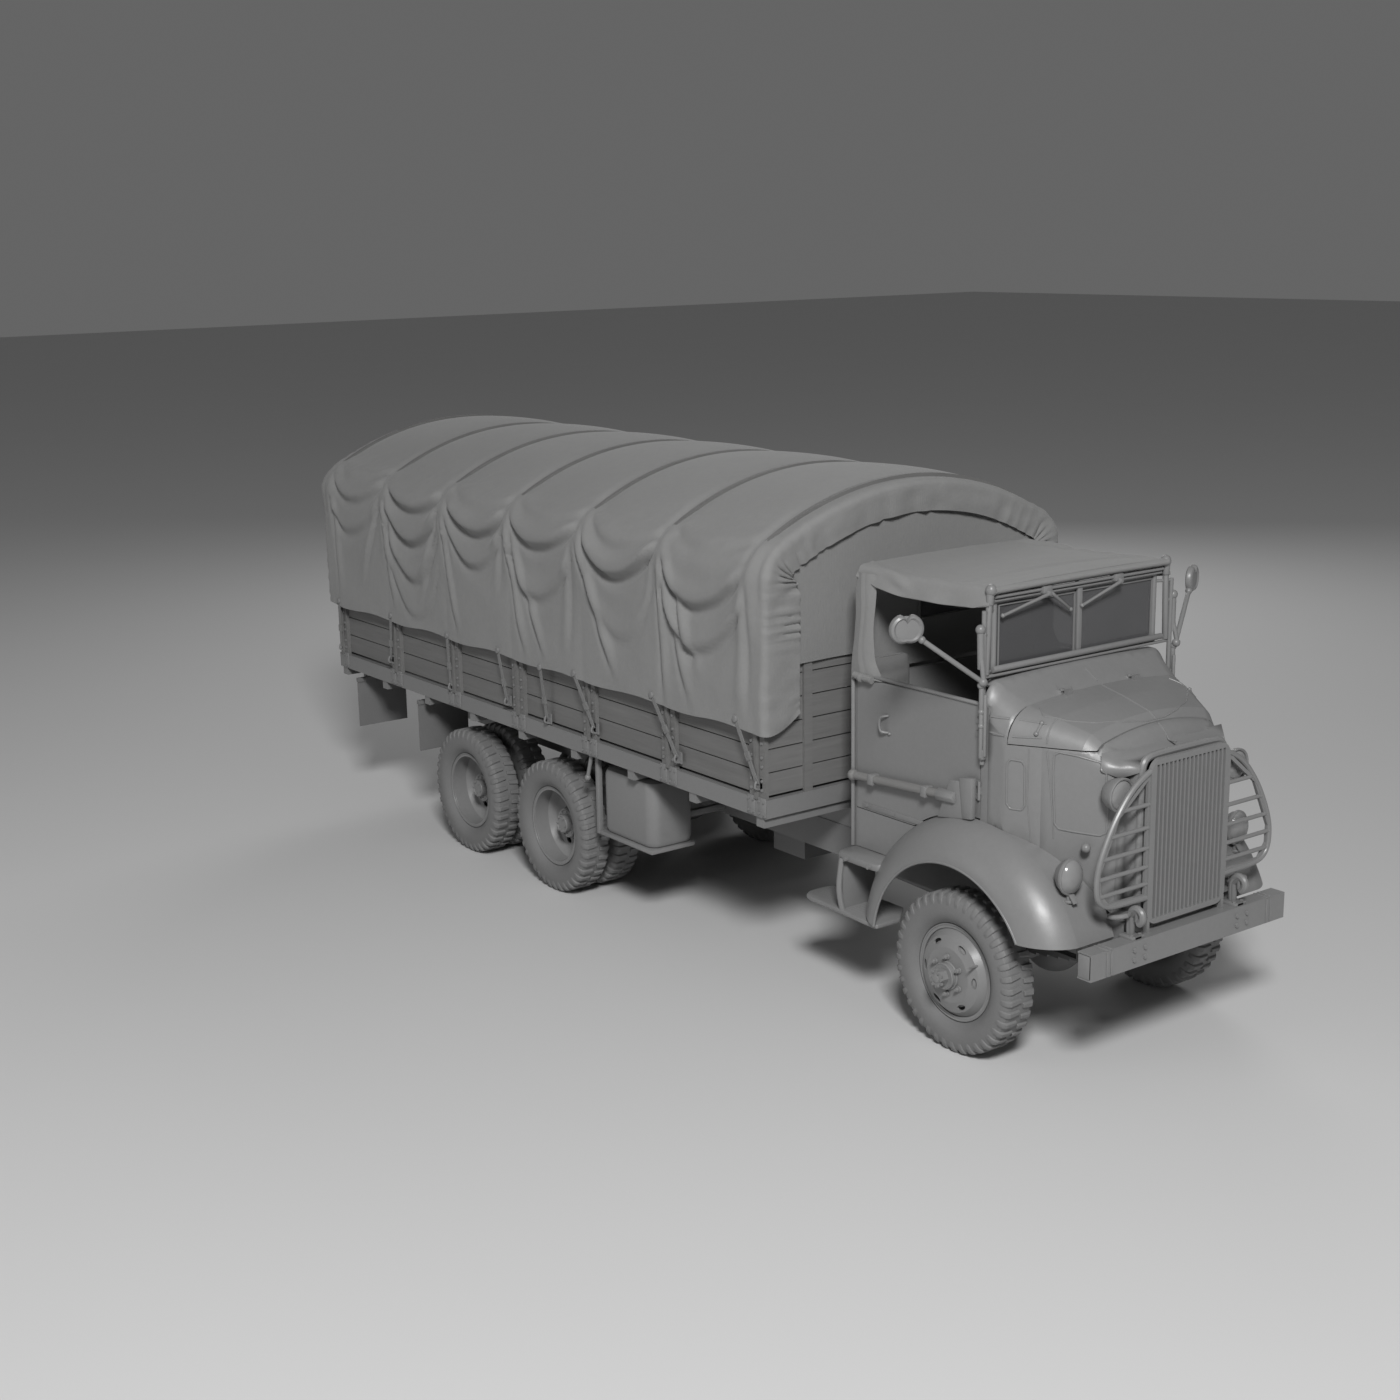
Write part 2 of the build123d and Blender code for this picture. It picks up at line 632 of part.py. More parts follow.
# Cowl, nose and bonnet lid, cut from one hollow form
form_stations = (
    # x from front axle, half width low, half width at belt, belt z, half width at shoulder, shoulder z, crown z
    (10, 700, 700, 1860, 610, 2020, 2041),
    (60, 700, 700, 1860, 610, 2020, 2041),
    (97, 700, 700, 1820, 580, 1985, 2012),
    (217, 690, 690, 1740, 540, 1905, 1935),
    (380, 600, 600, 1720, 500, 1862, 1900),
    (560, 510, 510, 1670, 430, 1800, 1850),
    (670, 445, 445, 1590, 370, 1705, 1762),
    (715, 405, 405, 1510, 330, 1620, 1660),
)


def form_section(x, low, belt, belt_z, shoulder, shoulder_z, crown_z, inset):
    """One cross-section of the bonnet form, drawn in by inset."""
    low, belt, shoulder = low - inset, belt - inset, shoulder - inset * 0.6
    bulge = ((belt + shoulder) / 2 + (belt - shoulder) * 0.16,
             (belt_z + shoulder_z) / 2 + (shoulder_z - belt_z) * 0.16)
    with BuildSketch(Plane(origin=(axle_x + x, 0, 0), x_dir=(0, 1, 0), z_dir=(1, 0, 0))) as section:
        with BuildLine():
            Polyline((-belt, belt_z), (-low, nose_bottom), (low, nose_bottom), (belt, belt_z))
            ThreePointArc((belt, belt_z), bulge, (shoulder, shoulder_z - inset))
            ThreePointArc((shoulder, shoulder_z - inset), (0, crown_z - inset),
                          (-shoulder, shoulder_z - inset))
            ThreePointArc((-shoulder, shoulder_z - inset), (-bulge[0], bulge[1]), (-belt, belt_z))
        make_face()
    return section.sketch


outer_sections = [form_section(*station, 0) for station in form_stations]
inner_sections = [form_section(*station, sheet) for station in form_stations]
with BuildPart() as bonnet_form:
    loft(outer_sections, ruled=True)
    loft(inner_sections, ruled=True, mode=Mode.SUBTRACT)
    with Locations(Location((arch_x, 0, arch_z), (90, 0, 0))):
        Cylinder(arch_radius + 0.5, 3 * cab_half_width, mode=Mode.SUBTRACT)


def lid_space(grow):
    """Block that holds the bonnet lid, grown by the panel gap."""
    low = (lid_rear_x - grow, -lid_half_width - grow, lid_seam_z - grow)
    high = (lid_front_x + grow, lid_half_width + grow, 2100)
    size = [b - a for a, b in zip(low, high)]
    middle = [(a + b) / 2 for a, b in zip(low, high)]
    return Pos(*middle) * Box(*size, mode=Mode.PRIVATE)


lid_hinge_z = 1946.0
lid_hinge_ys = (260.0, -260.0)


def lid_barrel(y_from, y_to):
    """Knuckle of the bonnet's hinge between two y values."""
    rod((lid_rear_x, y_from, lid_hinge_z), (lid_rear_x, y_to, lid_hinge_z), hinge_radius)


with BuildPart() as cowl:
    add(bonnet_form.part)
    block((axle_x, cab_front_x), (-900, 900), (0, belt_front), mode=Mode.SUBTRACT)
    for side in sides.values():
        block((axle_x, cab_front_x - 50), sorted((side * 640, side * 900)), (0, 2200),
              mode=Mode.SUBTRACT)
    block((cowl_front_x, nose_x + 100), (-900, 900), (0, 2200), mode=Mode.SUBTRACT)
    add(lid_space(0), mode=Mode.SUBTRACT)
    for y in lid_hinge_ys:
        for end in (-1, 1):
            lid_barrel(y + end * 20.3, y + end * 40)
            block((lid_rear_x - 30, lid_rear_x), sorted((y + end * 20.3, y + end * 40)),
                  (lid_hinge_z - 24, lid_hinge_z))
keep(cowl, "cowl")

with BuildPart() as nose:
    add(bonnet_form.part)
    block((0, cowl_front_x), (-900, 900), (0, 2200), mode=Mode.SUBTRACT)
    add(lid_space(0), mode=Mode.SUBTRACT)
    block((nose_x - sheet, nose_x), (-404, 404), (nose_bottom, 1505))
    block((nose_x - 60, nose_x + 10), (-285, 285), (880, 1450), mode=Mode.SUBTRACT)
    block((nose_x - 2 * sheet, shell_x), (-shell_half_width, shell_half_width), (nose_bottom, shell_top))
    inner = shell_half_width - shell_wall
    block((nose_x - 60, shell_x + 1), (-inner, inner),
          (nose_bottom + shell_wall, shell_top - shell_wall),
          mode=Mode.SUBTRACT)
    for side in sides.values():
        brow = sorted((side * (shell_half_width - 1), side * brow_reach))
        block((nose_x - 60, shell_x), brow, (brow_bottom, shell_top))
keep(nose, "nose")

with BuildPart() as bonnet_lid:
    add(bonnet_form.part)
    add(lid_space(-panel_gap), mode=Mode.INTERSECT)
    for y in lid_hinge_ys:
        lid_barrel(y - 20, y + 20)
        block((lid_rear_x + panel_gap, lid_rear_x + 30), (y - 20, y + 20),
              (lid_hinge_z - 26, lid_hinge_z + 4))
        block((lid_rear_x, lid_rear_x + 10), (y - 20, y + 20), (lid_hinge_z - 4, lid_hinge_z + 4))
keep(bonnet_lid, "bonnet_lid")

# Doors
door_rear_x = cab_back_x + cab_wall + panel_gap
door_front_x = cab_front_x - 50 - panel_gap
for side_name, side in sides.items():
    with BuildPart() as door:
        outline = ((door_rear_x, door_bottom), (door_front_x, door_bottom),
                   (door_front_x, belt_front), (door_rear_x, belt_rear))
        y_out, y_in = side * cab_half_width, side * (cab_half_width - cab_wall)
        side_plate(outline, max(y_out, y_in), min(y_out, y_in))
        with Locations(Location((arch_x, 0, arch_z), (90, 0, 0))):
            Cylinder(arch_radius + 12, 3 * cab_half_width, mode=Mode.SUBTRACT)
        rail_y = side * (cab_half_width - cab_wall / 2)
        rod((door_rear_x + 10, rail_y, belt_rear), (door_front_x - 10, rail_y, belt_front), cab_wall / 2)
        for z in hinge_zs:
            barrel = (door_hinge_x, side * door_hinge_y)
            for low in (z - 30 - running_gap, z + hinge_height + running_gap):
                rod((*barrel, low), (*barrel, low + 30), hinge_radius)
                block((door_front_x - 30, door_hinge_x),
                      sorted((side * (cab_half_width - 2), side * door_hinge_y)), (low, low + 30))
    keep(door, f"door_{side_name}")

# Windscreen
post_stays = (
    # z, x at the inner end, y at the inner end
    (1640, post_x, cab_half_width), (1850, post_x, cab_half_width),
    (2070, screen_x, screen_half_width), (2390, screen_x, screen_half_width),
)
with BuildPart() as windscreen_frame:
    for side in sides.values():
        rod((screen_x, side * screen_half_width, screen_bottom - 10),
            (screen_x, side * screen_half_width, screen_top), 15)
        rod((post_x, side * post_y, 1590), (post_x, side * post_y, 2400), post_radius)
        for z, stay_x, stay_y in post_stays:
            rod((post_x, side * post_y, z), (stay_x, side * stay_y, z), 9)
    for z in (screen_bottom, screen_top - 45, screen_top):
        rod((screen_x, -screen_half_width - 10, z), (screen_x, screen_half_width + 10, z), 13)
    rod((screen_x, 0, screen_bottom), (screen_x, 0, screen_top), 11)
    block((screen_x - 6, screen_x + 6), (-screen_half_width, screen_half_width),
          (screen_bottom - 13 + running_gap, screen_bottom))
keep(windscreen_frame, "windscreen_frame")

with BuildPart() as windscreen_glass:
    for side in sides.values():
        block((screen_x - 3, screen_x + 3), sorted((side * 11, side * (screen_half_width - 15))),
              (screen_bottom + 13, screen_top - 58))
keep(windscreen_glass, "windscreen_glass")

# Soft cab top: roof sheet with drooping sides and rear curtain
with BuildPart() as cab_top:
    top_front = screen_x + 30
    top_rear = cab_back_x + 12
    block((top_rear, top_front), (-cab_top_half_width, cab_top_half_width), (cab_top_z - 60, cab_top_z))
    block((top_rear + cab_top_wall, top_front - cab_top_wall),
          (-cab_top_half_width + cab_top_wall, cab_top_half_width - cab_top_wall),
          (cab_top_z - 70, cab_top_z - cab_top_wall), mode=Mode.SUBTRACT)
    block((top_rear, top_rear + cab_top_wall), (-cab_top_half_width, cab_top_half_width),
          (belt_rear + running_gap, cab_top_z))
    for side in sides.values():
        strip = sorted((side * (cab_top_half_width - cab_top_wall), side * cab_top_half_width))
        block((top_rear, top_rear + 130), strip, (belt_rear + 24, cab_top_z))
    block((screen_x - 40, top_front), (-600, 600), (screen_top + 13 + running_gap, cab_top_z))
keep(cab_top, "cab_top")

# Steering column and wheel
column_foot = Vector(axle_x + 60, steering_wheel_y, floor_top)
column_head = Vector(axle_x - 300, steering_wheel_y, 1800)
column_direction = (column_head - column_foot).normalized()
with BuildPart() as steering_column:
    rod(column_foot + column_direction * 30, column_head - column_direction * 29.5, 24)
    block((column_foot.X - 60, column_foot.X + 20), (steering_wheel_y - 40, steering_wheel_y + 40),
          (floor_top, floor_top + 40))
keep(steering_column, "steering_column")
with BuildPart() as steering_wheel:
    wheel_plane = Plane(origin=column_head, z_dir=column_direction)
    with Locations(wheel_plane.location):
        Torus(steering_wheel_radius - 13, 13)
        with Locations((0, 0, -14)):
            Cylinder(36, 30)
        for turn_angle in (0, 120, 240):
            with Locations(Location((0, 0, 0), (0, 0, turn_angle))):
                with Locations((steering_wheel_radius / 2, 0, -4)):
                    Box(steering_wheel_radius - 26, 18, 9)
keep(steering_wheel, "steering_wheel")

# Lamps
lamp_y = 445.0
lamp_z = 1530.0
lamp_face_x = axle_x + 790.0
marker_x = axle_x + 620.0
marker_y = 650.0


def arch_height(x):
    """Height of the fender's crown at x."""
    return arch_z + sqrt(arch_radius ** 2 - (x - arch_x) ** 2)


with BuildPart() as headlamps:
    for side in sides.values():
        rod((lamp_face_x - 65, side * lamp_y, lamp_z), (lamp_face_x, side * lamp_y, lamp_z), 86)
        rod((lamp_face_x - 72, side * lamp_y, lamp_z), (lamp_face_x - 64, side * lamp_y, lamp_z), 60)
        bracket = sorted((side * (shell_half_width + running_gap), side * 372))
        block((nose_x, lamp_face_x - 30), bracket, (lamp_z - 25, lamp_z + 25))
keep(headlamps, "headlamps")
with BuildPart() as marker_lamps:
    for side in sides.values():
        rod((marker_x - 15, side * marker_y, 1085), (marker_x + 35, side * marker_y, 1085), 52)
        foot = arch_height(marker_x - 10) + running_gap
        rod((marker_x, side * marker_y, foot), (marker_x, side * marker_y, 1060), 10)
keep(marker_lamps, "marker_lamps")

# Mirrors clamped to the windscreen posts
clamp_z = 2020.0
with BuildPart() as mirrors:
    for side in sides.values():
        rod((post_x, side * post_y, clamp_z), (post_x, side * post_y, clamp_z + 30), post_radius + 8)
        rod((post_x, side * (post_y + 18), clamp_z + 15), (axle_x - 60, side * 1050, 2320), 9)
        rod((axle_x - 66, side * 1075, 2335), (axle_x - 48, side * 1075, 2335), 62)
        rod((post_x, side * post_y, clamp_z - 10), (post_x, side * post_y, clamp_z + 40),
            post_radius + running_gap, mode=Mode.SUBTRACT)
keep(mirrors, "mirrors")

# Cargo body frame and floor
gate_hinge_x = body_rear_x - 10.0
gate_hinge_z = sill_top - 6.0
gate_hinge_ys = (-900.0, -300.0, 300.0, 900.0)
floor_margin = 6.0
floor_half_width = rack_outer - rack_thickness - floor_margin
floor_front_x = body_front_x - 45.0 - floor_margin
floor_rear_x = body_rear_x + 34.0 + floor_margin
with BuildPart() as body_frame:
    for side in sides.values():
        outer = side * body_half_width
        block((body_rear_x, body_front_x), sorted((outer, outer - side * sill_wall)),
              (sill_bottom, sill_top))
        block((body_rear_x, body_front_x), sorted((outer, outer - side * 60)),
              (sill_bottom, sill_bottom + sill_wall))
        block((body_rear_x, body_front_x), sorted((side * 365, side * 425)),
              (rail_top, sill_bottom - 60))
        block((body_rear_x, body_front_x), sorted((side * floor_half_width, outer)),
              (sill_top - floor_plank, sill_top))
    for end_x in (body_front_x, body_rear_x + sill_wall):
        block((end_x - sill_wall, end_x), (-body_half_width, body_half_width), (sill_bottom, sill_top))
    for end in ((body_rear_x, floor_rear_x), (floor_front_x, body_front_x)):
        block(end, (-body_half_width, body_half_width), (sill_top - floor_plank, sill_top))
    cross_count = 9
    span = body_front_x - body_rear_x - 120
    for index in range(cross_count):
        x = body_rear_x + 60 + span * index / (cross_count - 1)
        block((x - 35, x + 35), (-body_half_width + sill_wall, body_half_width - sill_wall),
              (sill_bottom - 60, sill_top - floor_plank))
    for y in gate_hinge_ys:
        for end in (-1, 1):
            knuckle_y = sorted((y + end * 20.3, y + end * 50))
            rod((gate_hinge_x, knuckle_y[0], gate_hinge_z), (gate_hinge_x, knuckle_y[1], gate_hinge_z),
                hinge_radius)
            block((gate_hinge_x, body_rear_x + 1), knuckle_y,
                  (gate_hinge_z - hinge_radius, gate_hinge_z))
keep(body_frame, "body_frame")

with BuildPart() as cargo_floor:
    block((floor_rear_x, floor_front_x), (-floor_half_width, floor_half_width),
          (sill_top - floor_plank, sill_top))
keep(cargo_floor, "cargo_floor")

# Planked racks with stakes
plank_count = 6
plank_pitch = (rack_top - sill_top - 20) / plank_count
bow_xs = [bow_front_x - bow_pitch * index for index in range(bow_count)]
stake_offset = 48.0
plank_height = plank_pitch - 8.0
plank_middle_z = sill_top + 20 + (plank_count * plank_pitch - 8) / 2
rack_ends = (body_rear_x + 40, body_front_x - 50)
stake_width = 44.0
stake_xs = [bow_x + end * stake_offset for bow_x in bow_xs for end in (-1, 1)]
stake_xs = [x for x in stake_xs if body_rear_x < x - stake_width / 2 and x + stake_width / 2 < body_front_x]
with BuildPart() as side_racks:
    for side in sides.values():
        with BuildSketch(Plane.XZ.offset(-side * rack_outer), mode=Mode.PRIVATE) as planks:
            with Locations((sum(rack_ends) / 2, plank_middle_z)):
                with GridLocations(1, plank_pitch, 1, plank_count):
                    Rectangle(rack_ends[1] - rack_ends[0], plank_height)
        extrude(planks.sketch, amount=side * rack_thickness)
        with BuildSketch(Plane.XZ.offset(-side * rack_outer), mode=Mode.PRIVATE) as stakes:
            with Locations(*[(x, (sill_top + rack_top) / 2) for x in stake_xs]):
                Rectangle(stake_width, rack_top - sill_top)
        extrude(stakes.sketch, amount=-side * stake_depth)
keep(side_racks, "side_racks")

with BuildPart() as front_rack:
    half = rack_outer
    for index in range(plank_count):
        low = sill_top + 20 + plank_pitch * index
        block((body_front_x - 45, body_front_x - 21), (-half, half), (low, low + plank_pitch - 8))
    for y in (-800, -300, 300, 800):
        block((body_front_x - 21, body_front_x - 2), (y - 30, y + 30), (sill_top, rack_top))
keep(front_rack, "front_rack")

gate_height = 560.0
gate_bottom = sill_top + 6
with BuildPart() as tailgate:
    block((body_rear_x + 8, body_rear_x + 34), (-rack_outer + 50, rack_outer - 50),
          (gate_bottom, gate_bottom + gate_height))
    for y in gate_hinge_ys:
        strap = (y - 20, y + 20)
        block((gate_hinge_x - 4, gate_hinge_x + 4), strap, (gate_hinge_z, gate_bottom + 12))
        block((gate_hinge_x - 4, body_rear_x + 9), strap, (gate_bottom, gate_bottom + 12))
        block((body_rear_x, body_rear_x + 9), strap, (gate_bottom, gate_bottom + gate_height))
        rod((gate_hinge_x, y - 20, gate_hinge_z), (gate_hinge_x, y + 20, gate_hinge_z), hinge_radius)
keep(tailgate, "tailgate")

# Bows and cover share one arch


def arch_face(inset, foot):
    """Closed arch face in the YZ plane: a crown arc, tangent shoulder arcs and straight legs."""
    crown, shoulder = cover_crown_radius - inset, cover_shoulder_radius - inset
    crown_z = cover_peak - cover_crown_radius
    shoulder_y = cover_half_width - cover_shoulder_radius
    reach = cover_crown_radius - cover_shoulder_radius
    shoulder_z = crown_z + sqrt(reach ** 2 - shoulder_y ** 2)
    lean = atan2(shoulder_y, shoulder_z - crown_z)
    middle = (lean + radians(90)) / 2
    half = shoulder_y + shoulder
    join = (crown * sin(lean), crown_z + crown * cos(lean))
    bulge = (shoulder_y + shoulder * sin(middle), shoulder_z + shoulder * cos(middle))
    with BuildSketch(Plane.YZ) as face:
        with BuildLine():
            Polyline((half, shoulder_z), (half, foot), (-half, foot), (-half, shoulder_z))
            ThreePointArc((-half, shoulder_z), (-bulge[0], bulge[1]), (-join[0], join[1]))
            ThreePointArc((-join[0], join[1]), (0, crown_z + crown), join)
            ThreePointArc(join, bulge, (half, shoulder_z))
        make_face()
    return face.sketch


bow_inset = cover_wall + running_gap
with BuildPart() as tilt_bows:
    outer_face = arch_face(bow_inset, sill_top)
    inner_face = arch_face(bow_inset + bow_size, sill_top - 1)
    for x in bow_xs:
        extrude(outer_face.moved(Location((x - bow_size / 2, 0, 0))), amount=bow_size)
        extrude(inner_face.moved(Location((x - bow_size, 0, 0))), amount=2 * bow_size,
                mode=Mode.SUBTRACT)
keep(tilt_bows, "tilt_bows")

with BuildPart() as canvas_cover:
    cover_length = cover_front_x - cover_rear_x
    outer_face = arch_face(0, cover_hem)
    inner_face = arch_face(cover_wall, cover_hem - 1)
    extrude(outer_face.moved(Location((cover_rear_x, 0, 0))), amount=cover_length)
    extrude(inner_face.moved(Location((cover_rear_x - 1, 0, 0))), amount=cover_length - cover_wall + 1,
            mode=Mode.SUBTRACT)
    block((cover_front_x - cover_wall - 1, cover_front_x + 1), (-1080, 1080),
          (cover_hem - 2, rack_top - 30), mode=Mode.SUBTRACT)
keep(canvas_cover, "canvas_cover")

# Fuel tank on the right, tool locker on the left
tank_corner = 55.0
for label, side in (("fuel_tank", -1), ("tool_locker", 1)):
    with BuildPart() as side_box:
        block((axle_x - 3010, axle_x - 2450), sorted((side * 760, side * 1060)), (560, 990))
        fillet(side_box.edges().filter_by(Axis.X).group_by(Axis.Z)[-1], tank_corner)
        block((axle_x - 3020, axle_x - 2440), sorted((side * 740, side * 1070)), (535, 560))
        for x in (axle_x - 2960, axle_x - 2550):
            block((x - 20, x + 20), sorted((side * rail_half_width, side * 780)), (690, 730))
    keep(side_box, label)

# Splash flaps
with BuildPart() as splash_flaps:
    for side in sides.values():
        for x in (axle_x - 5330, axle_x - 6290):
            block((x - 4, x + 4), sorted((side * 700, side * 1110)), (620, sill_bottom - 60))
            block((x - 15, x + 15), sorted((side * 425, side * 1110)),
                  (sill_bottom - 90, sill_bottom - 60))
keep(splash_flaps, "splash_flaps")

# Tail lamps under the body's rear cross sill
with BuildPart() as tail_lamps:
    for side in sides.values():
        block((body_rear_x + 30, body_rear_x + 90), sorted((side * 860, side * 920)),
              (900, sill_bottom - 60))
        rod((body_rear_x + 6, side * 890, 945), (body_rear_x + 31, side * 890, 945), 42)
keep(tail_lamps, "tail_lamps")

# Pioneer axe in its clamps on the right door
axe_y = -cab_half_width - 46.0
axe_rear = (axle_x - 930.0, axe_y, 1330.0)
axe_front = (axle_x - 115.0, axe_y, 1373.0)
axe_head_x = axle_x - 140.0
with BuildPart() as pioneer_axe:
    rod(axe_rear, axe_front, 18)
    with Locations(axe_rear):
        Sphere(26)
    side_plate(((axe_head_x, 1400), (axe_head_x + 60, 1410), (axe_head_x + 150, 1425),
                (axe_head_x + 150, 1300),
                (axe_head_x + 60, 1345), (axe_head_x, 1350)), axe_y + 12, axe_y - 12)
    for x in (axle_x - 760, axle_x - 280):
        rail_z = 1330 + (x - axe_rear[0]) * 43 / 815
        block((x - 20, x + 20), (axe_y - 24, -cab_half_width - running_gap), (rail_z - 24, rail_z + 24))
keep(pioneer_axe, "pioneer_axe")
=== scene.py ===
import json
from math import asin, atan2, ceil, cos, exp, floor, hypot, pi, radians, sin, sqrt, tanh

import bmesh
import bpy
from mathutils import Matrix, Vector, noise
from mathutils.bvhtree import BVHTree

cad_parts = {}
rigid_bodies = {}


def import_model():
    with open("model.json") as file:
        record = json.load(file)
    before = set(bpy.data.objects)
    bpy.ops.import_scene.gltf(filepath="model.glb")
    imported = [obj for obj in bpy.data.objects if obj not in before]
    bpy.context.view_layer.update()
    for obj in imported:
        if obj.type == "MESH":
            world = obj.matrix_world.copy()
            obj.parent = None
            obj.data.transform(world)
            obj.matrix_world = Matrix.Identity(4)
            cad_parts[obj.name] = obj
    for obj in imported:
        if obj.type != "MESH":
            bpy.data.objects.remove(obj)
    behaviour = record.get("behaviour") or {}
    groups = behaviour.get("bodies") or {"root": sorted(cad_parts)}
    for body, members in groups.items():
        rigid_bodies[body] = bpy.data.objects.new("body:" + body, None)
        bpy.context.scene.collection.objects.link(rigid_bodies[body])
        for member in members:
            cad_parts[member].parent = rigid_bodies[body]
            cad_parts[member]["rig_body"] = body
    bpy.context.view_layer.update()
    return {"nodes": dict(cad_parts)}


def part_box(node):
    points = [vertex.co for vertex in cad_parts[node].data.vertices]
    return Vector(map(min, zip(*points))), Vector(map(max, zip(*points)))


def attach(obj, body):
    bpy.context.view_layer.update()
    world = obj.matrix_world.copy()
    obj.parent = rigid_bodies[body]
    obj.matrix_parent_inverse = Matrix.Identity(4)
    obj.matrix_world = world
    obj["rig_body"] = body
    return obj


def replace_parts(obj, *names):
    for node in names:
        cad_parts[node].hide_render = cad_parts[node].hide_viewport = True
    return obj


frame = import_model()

bl_info = {
    "name": "Military cargo truck",
    "version": (1, 0, 0),
    "blender": (4, 5, 0),
    "location": "View3D > Sidebar > Truck",
    "description": "Dresses the packed cargo truck with its canvas, tyres, fittings and finishes",
    "category": "Add Mesh",
}

NODES = frame["nodes"]
SIDES = {"left": 1, "right": -1}

# Places read from the frame, in metres
TYRE_LOW, TYRE_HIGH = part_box("front_tyre_right")
AXLE_X = (TYRE_LOW.x + TYRE_HIGH.x) / 2
TYRE_RADIUS = (TYRE_HIGH.z - TYRE_LOW.z) / 2
TYRE_WIDTH = TYRE_HIGH.y - TYRE_LOW.y
COVER_LOW, COVER_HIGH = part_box("canvas_cover")
BOW_LOW, BOW_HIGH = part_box("tilt_bows")
BODY_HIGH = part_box("body_frame")[1]


def place(x):
    """Row x of a length measured forward from the front axle."""
    return AXLE_X + x


# Sizes and colours that a user may change


class CanvasSizes(bpy.types.PropertyGroup):
    """How the cargo cover hangs."""

    swag: bpy.props.FloatProperty(
        name="Swag", description="How far the swags stand between two bows", default=0.036, unit="LENGTH")
    pleat: bpy.props.FloatProperty(
        name="Pleat", description="How far the hanging pleats stand", default=0.021, unit="LENGTH")
    belly: bpy.props.FloatProperty(
        name="Belly", description="How far the roof stands up between two bows", default=0.036,
        unit="LENGTH")
    pucker: bpy.props.FloatProperty(
        name="Pucker", description="Height of the gathers along the end bands", default=0.034, unit="LENGTH")
    spacing: bpy.props.FloatProperty(
        name="Spacing", description="Grid spacing of the cloth", default=0.018, unit="LENGTH")


class TyreSizes(bpy.types.PropertyGroup):
    """The tyres' tread."""

    lugs: bpy.props.IntProperty(name="Lugs", description="Shoulder lugs on each side of a tyre", default=40)
    lug_depth: bpy.props.FloatProperty(
        name="Lug depth", description="How far a lug stands out", default=0.014, unit="LENGTH")


class FinishColours(bpy.types.PropertyGroup):
    """Base colours of the finishes."""

    paint: bpy.props.FloatVectorProperty(
        name="Paint", description="Cab and body paint", subtype="COLOR", default=(0.195, 0.195, 0.195))
    chassis: bpy.props.FloatVectorProperty(
        name="Chassis", description="Frame, axles and engine", subtype="COLOR", default=(0.15, 0.15, 0.15))
    canvas: bpy.props.FloatVectorProperty(
        name="Canvas", description="Cargo cover and cab top", subtype="COLOR", default=(0.215, 0.215, 0.213))
    rubber: bpy.props.FloatVectorProperty(
        name="Rubber", description="Tyres and splash flaps", subtype="COLOR", default=(0.165, 0.165, 0.165))
    wood: bpy.props.FloatVectorProperty(
        # Wood colour: the planks' own grey, set darker than the paint partly as painted shade of the cover
        # over the cargo body
        name="Wood", description="Racks, bows and floor", subtype="COLOR", default=(0.150, 0.149, 0.147))
    floor: bpy.props.FloatVectorProperty(
        name="Floor", description="Studio floor", subtype="COLOR", default=(0.60, 0.60, 0.60))


# Shader maths


class Wire:
    """A node's output socket. Python operators on it add Math nodes."""

    def __init__(self, tree, socket):
        self.tree, self.socket = tree, socket

    def add(self, kind, settings=None, inputs=None, output=0):
        """New node: its settings are set first, then the values or links of its sockets."""
        return add_node(self.tree, kind, settings, inputs, output)

    def maths(self, operation, other, swapped=False):
        pair = (other, self) if swapped else (self, other)
        return self.add("ShaderNodeMath", {"operation": operation}, dict(enumerate(pair)))

    def __add__(self, other):
        return self.maths("ADD", other)

    def __radd__(self, other):
        return self.maths("ADD", other, True)

    def __sub__(self, other):
        return self.maths("SUBTRACT", other)

    def __rsub__(self, other):
        return self.maths("SUBTRACT", other, True)

    def __mul__(self, other):
        return self.maths("MULTIPLY", other)

    def __rmul__(self, other):
        return self.maths("MULTIPLY", other, True)

    def __pow__(self, other):
        return self.maths("POWER", other)

    def clamped(self):
        return self.add("ShaderNodeClamp", None, {0: self})

    def ramp(self, low, high):
        """0 below low, 1 above high, smooth between."""
        return self.add("ShaderNodeMapRange", {"interpolation_type": "SMOOTHSTEP"},
                        {0: self, 1: low, 2: high})


def add_node(tree, kind, settings=None, inputs=None, output=0):
    node = tree.nodes.new(kind)
    for name, value in (settings or {}).items():
        setattr(node, name, value)
    for key, value in (inputs or {}).items():
        if isinstance(value, Wire):
            tree.links.new(value.socket, node.inputs[key])
        else:
            node.inputs[key].default_value = value
    return Wire(tree, node.outputs[output])


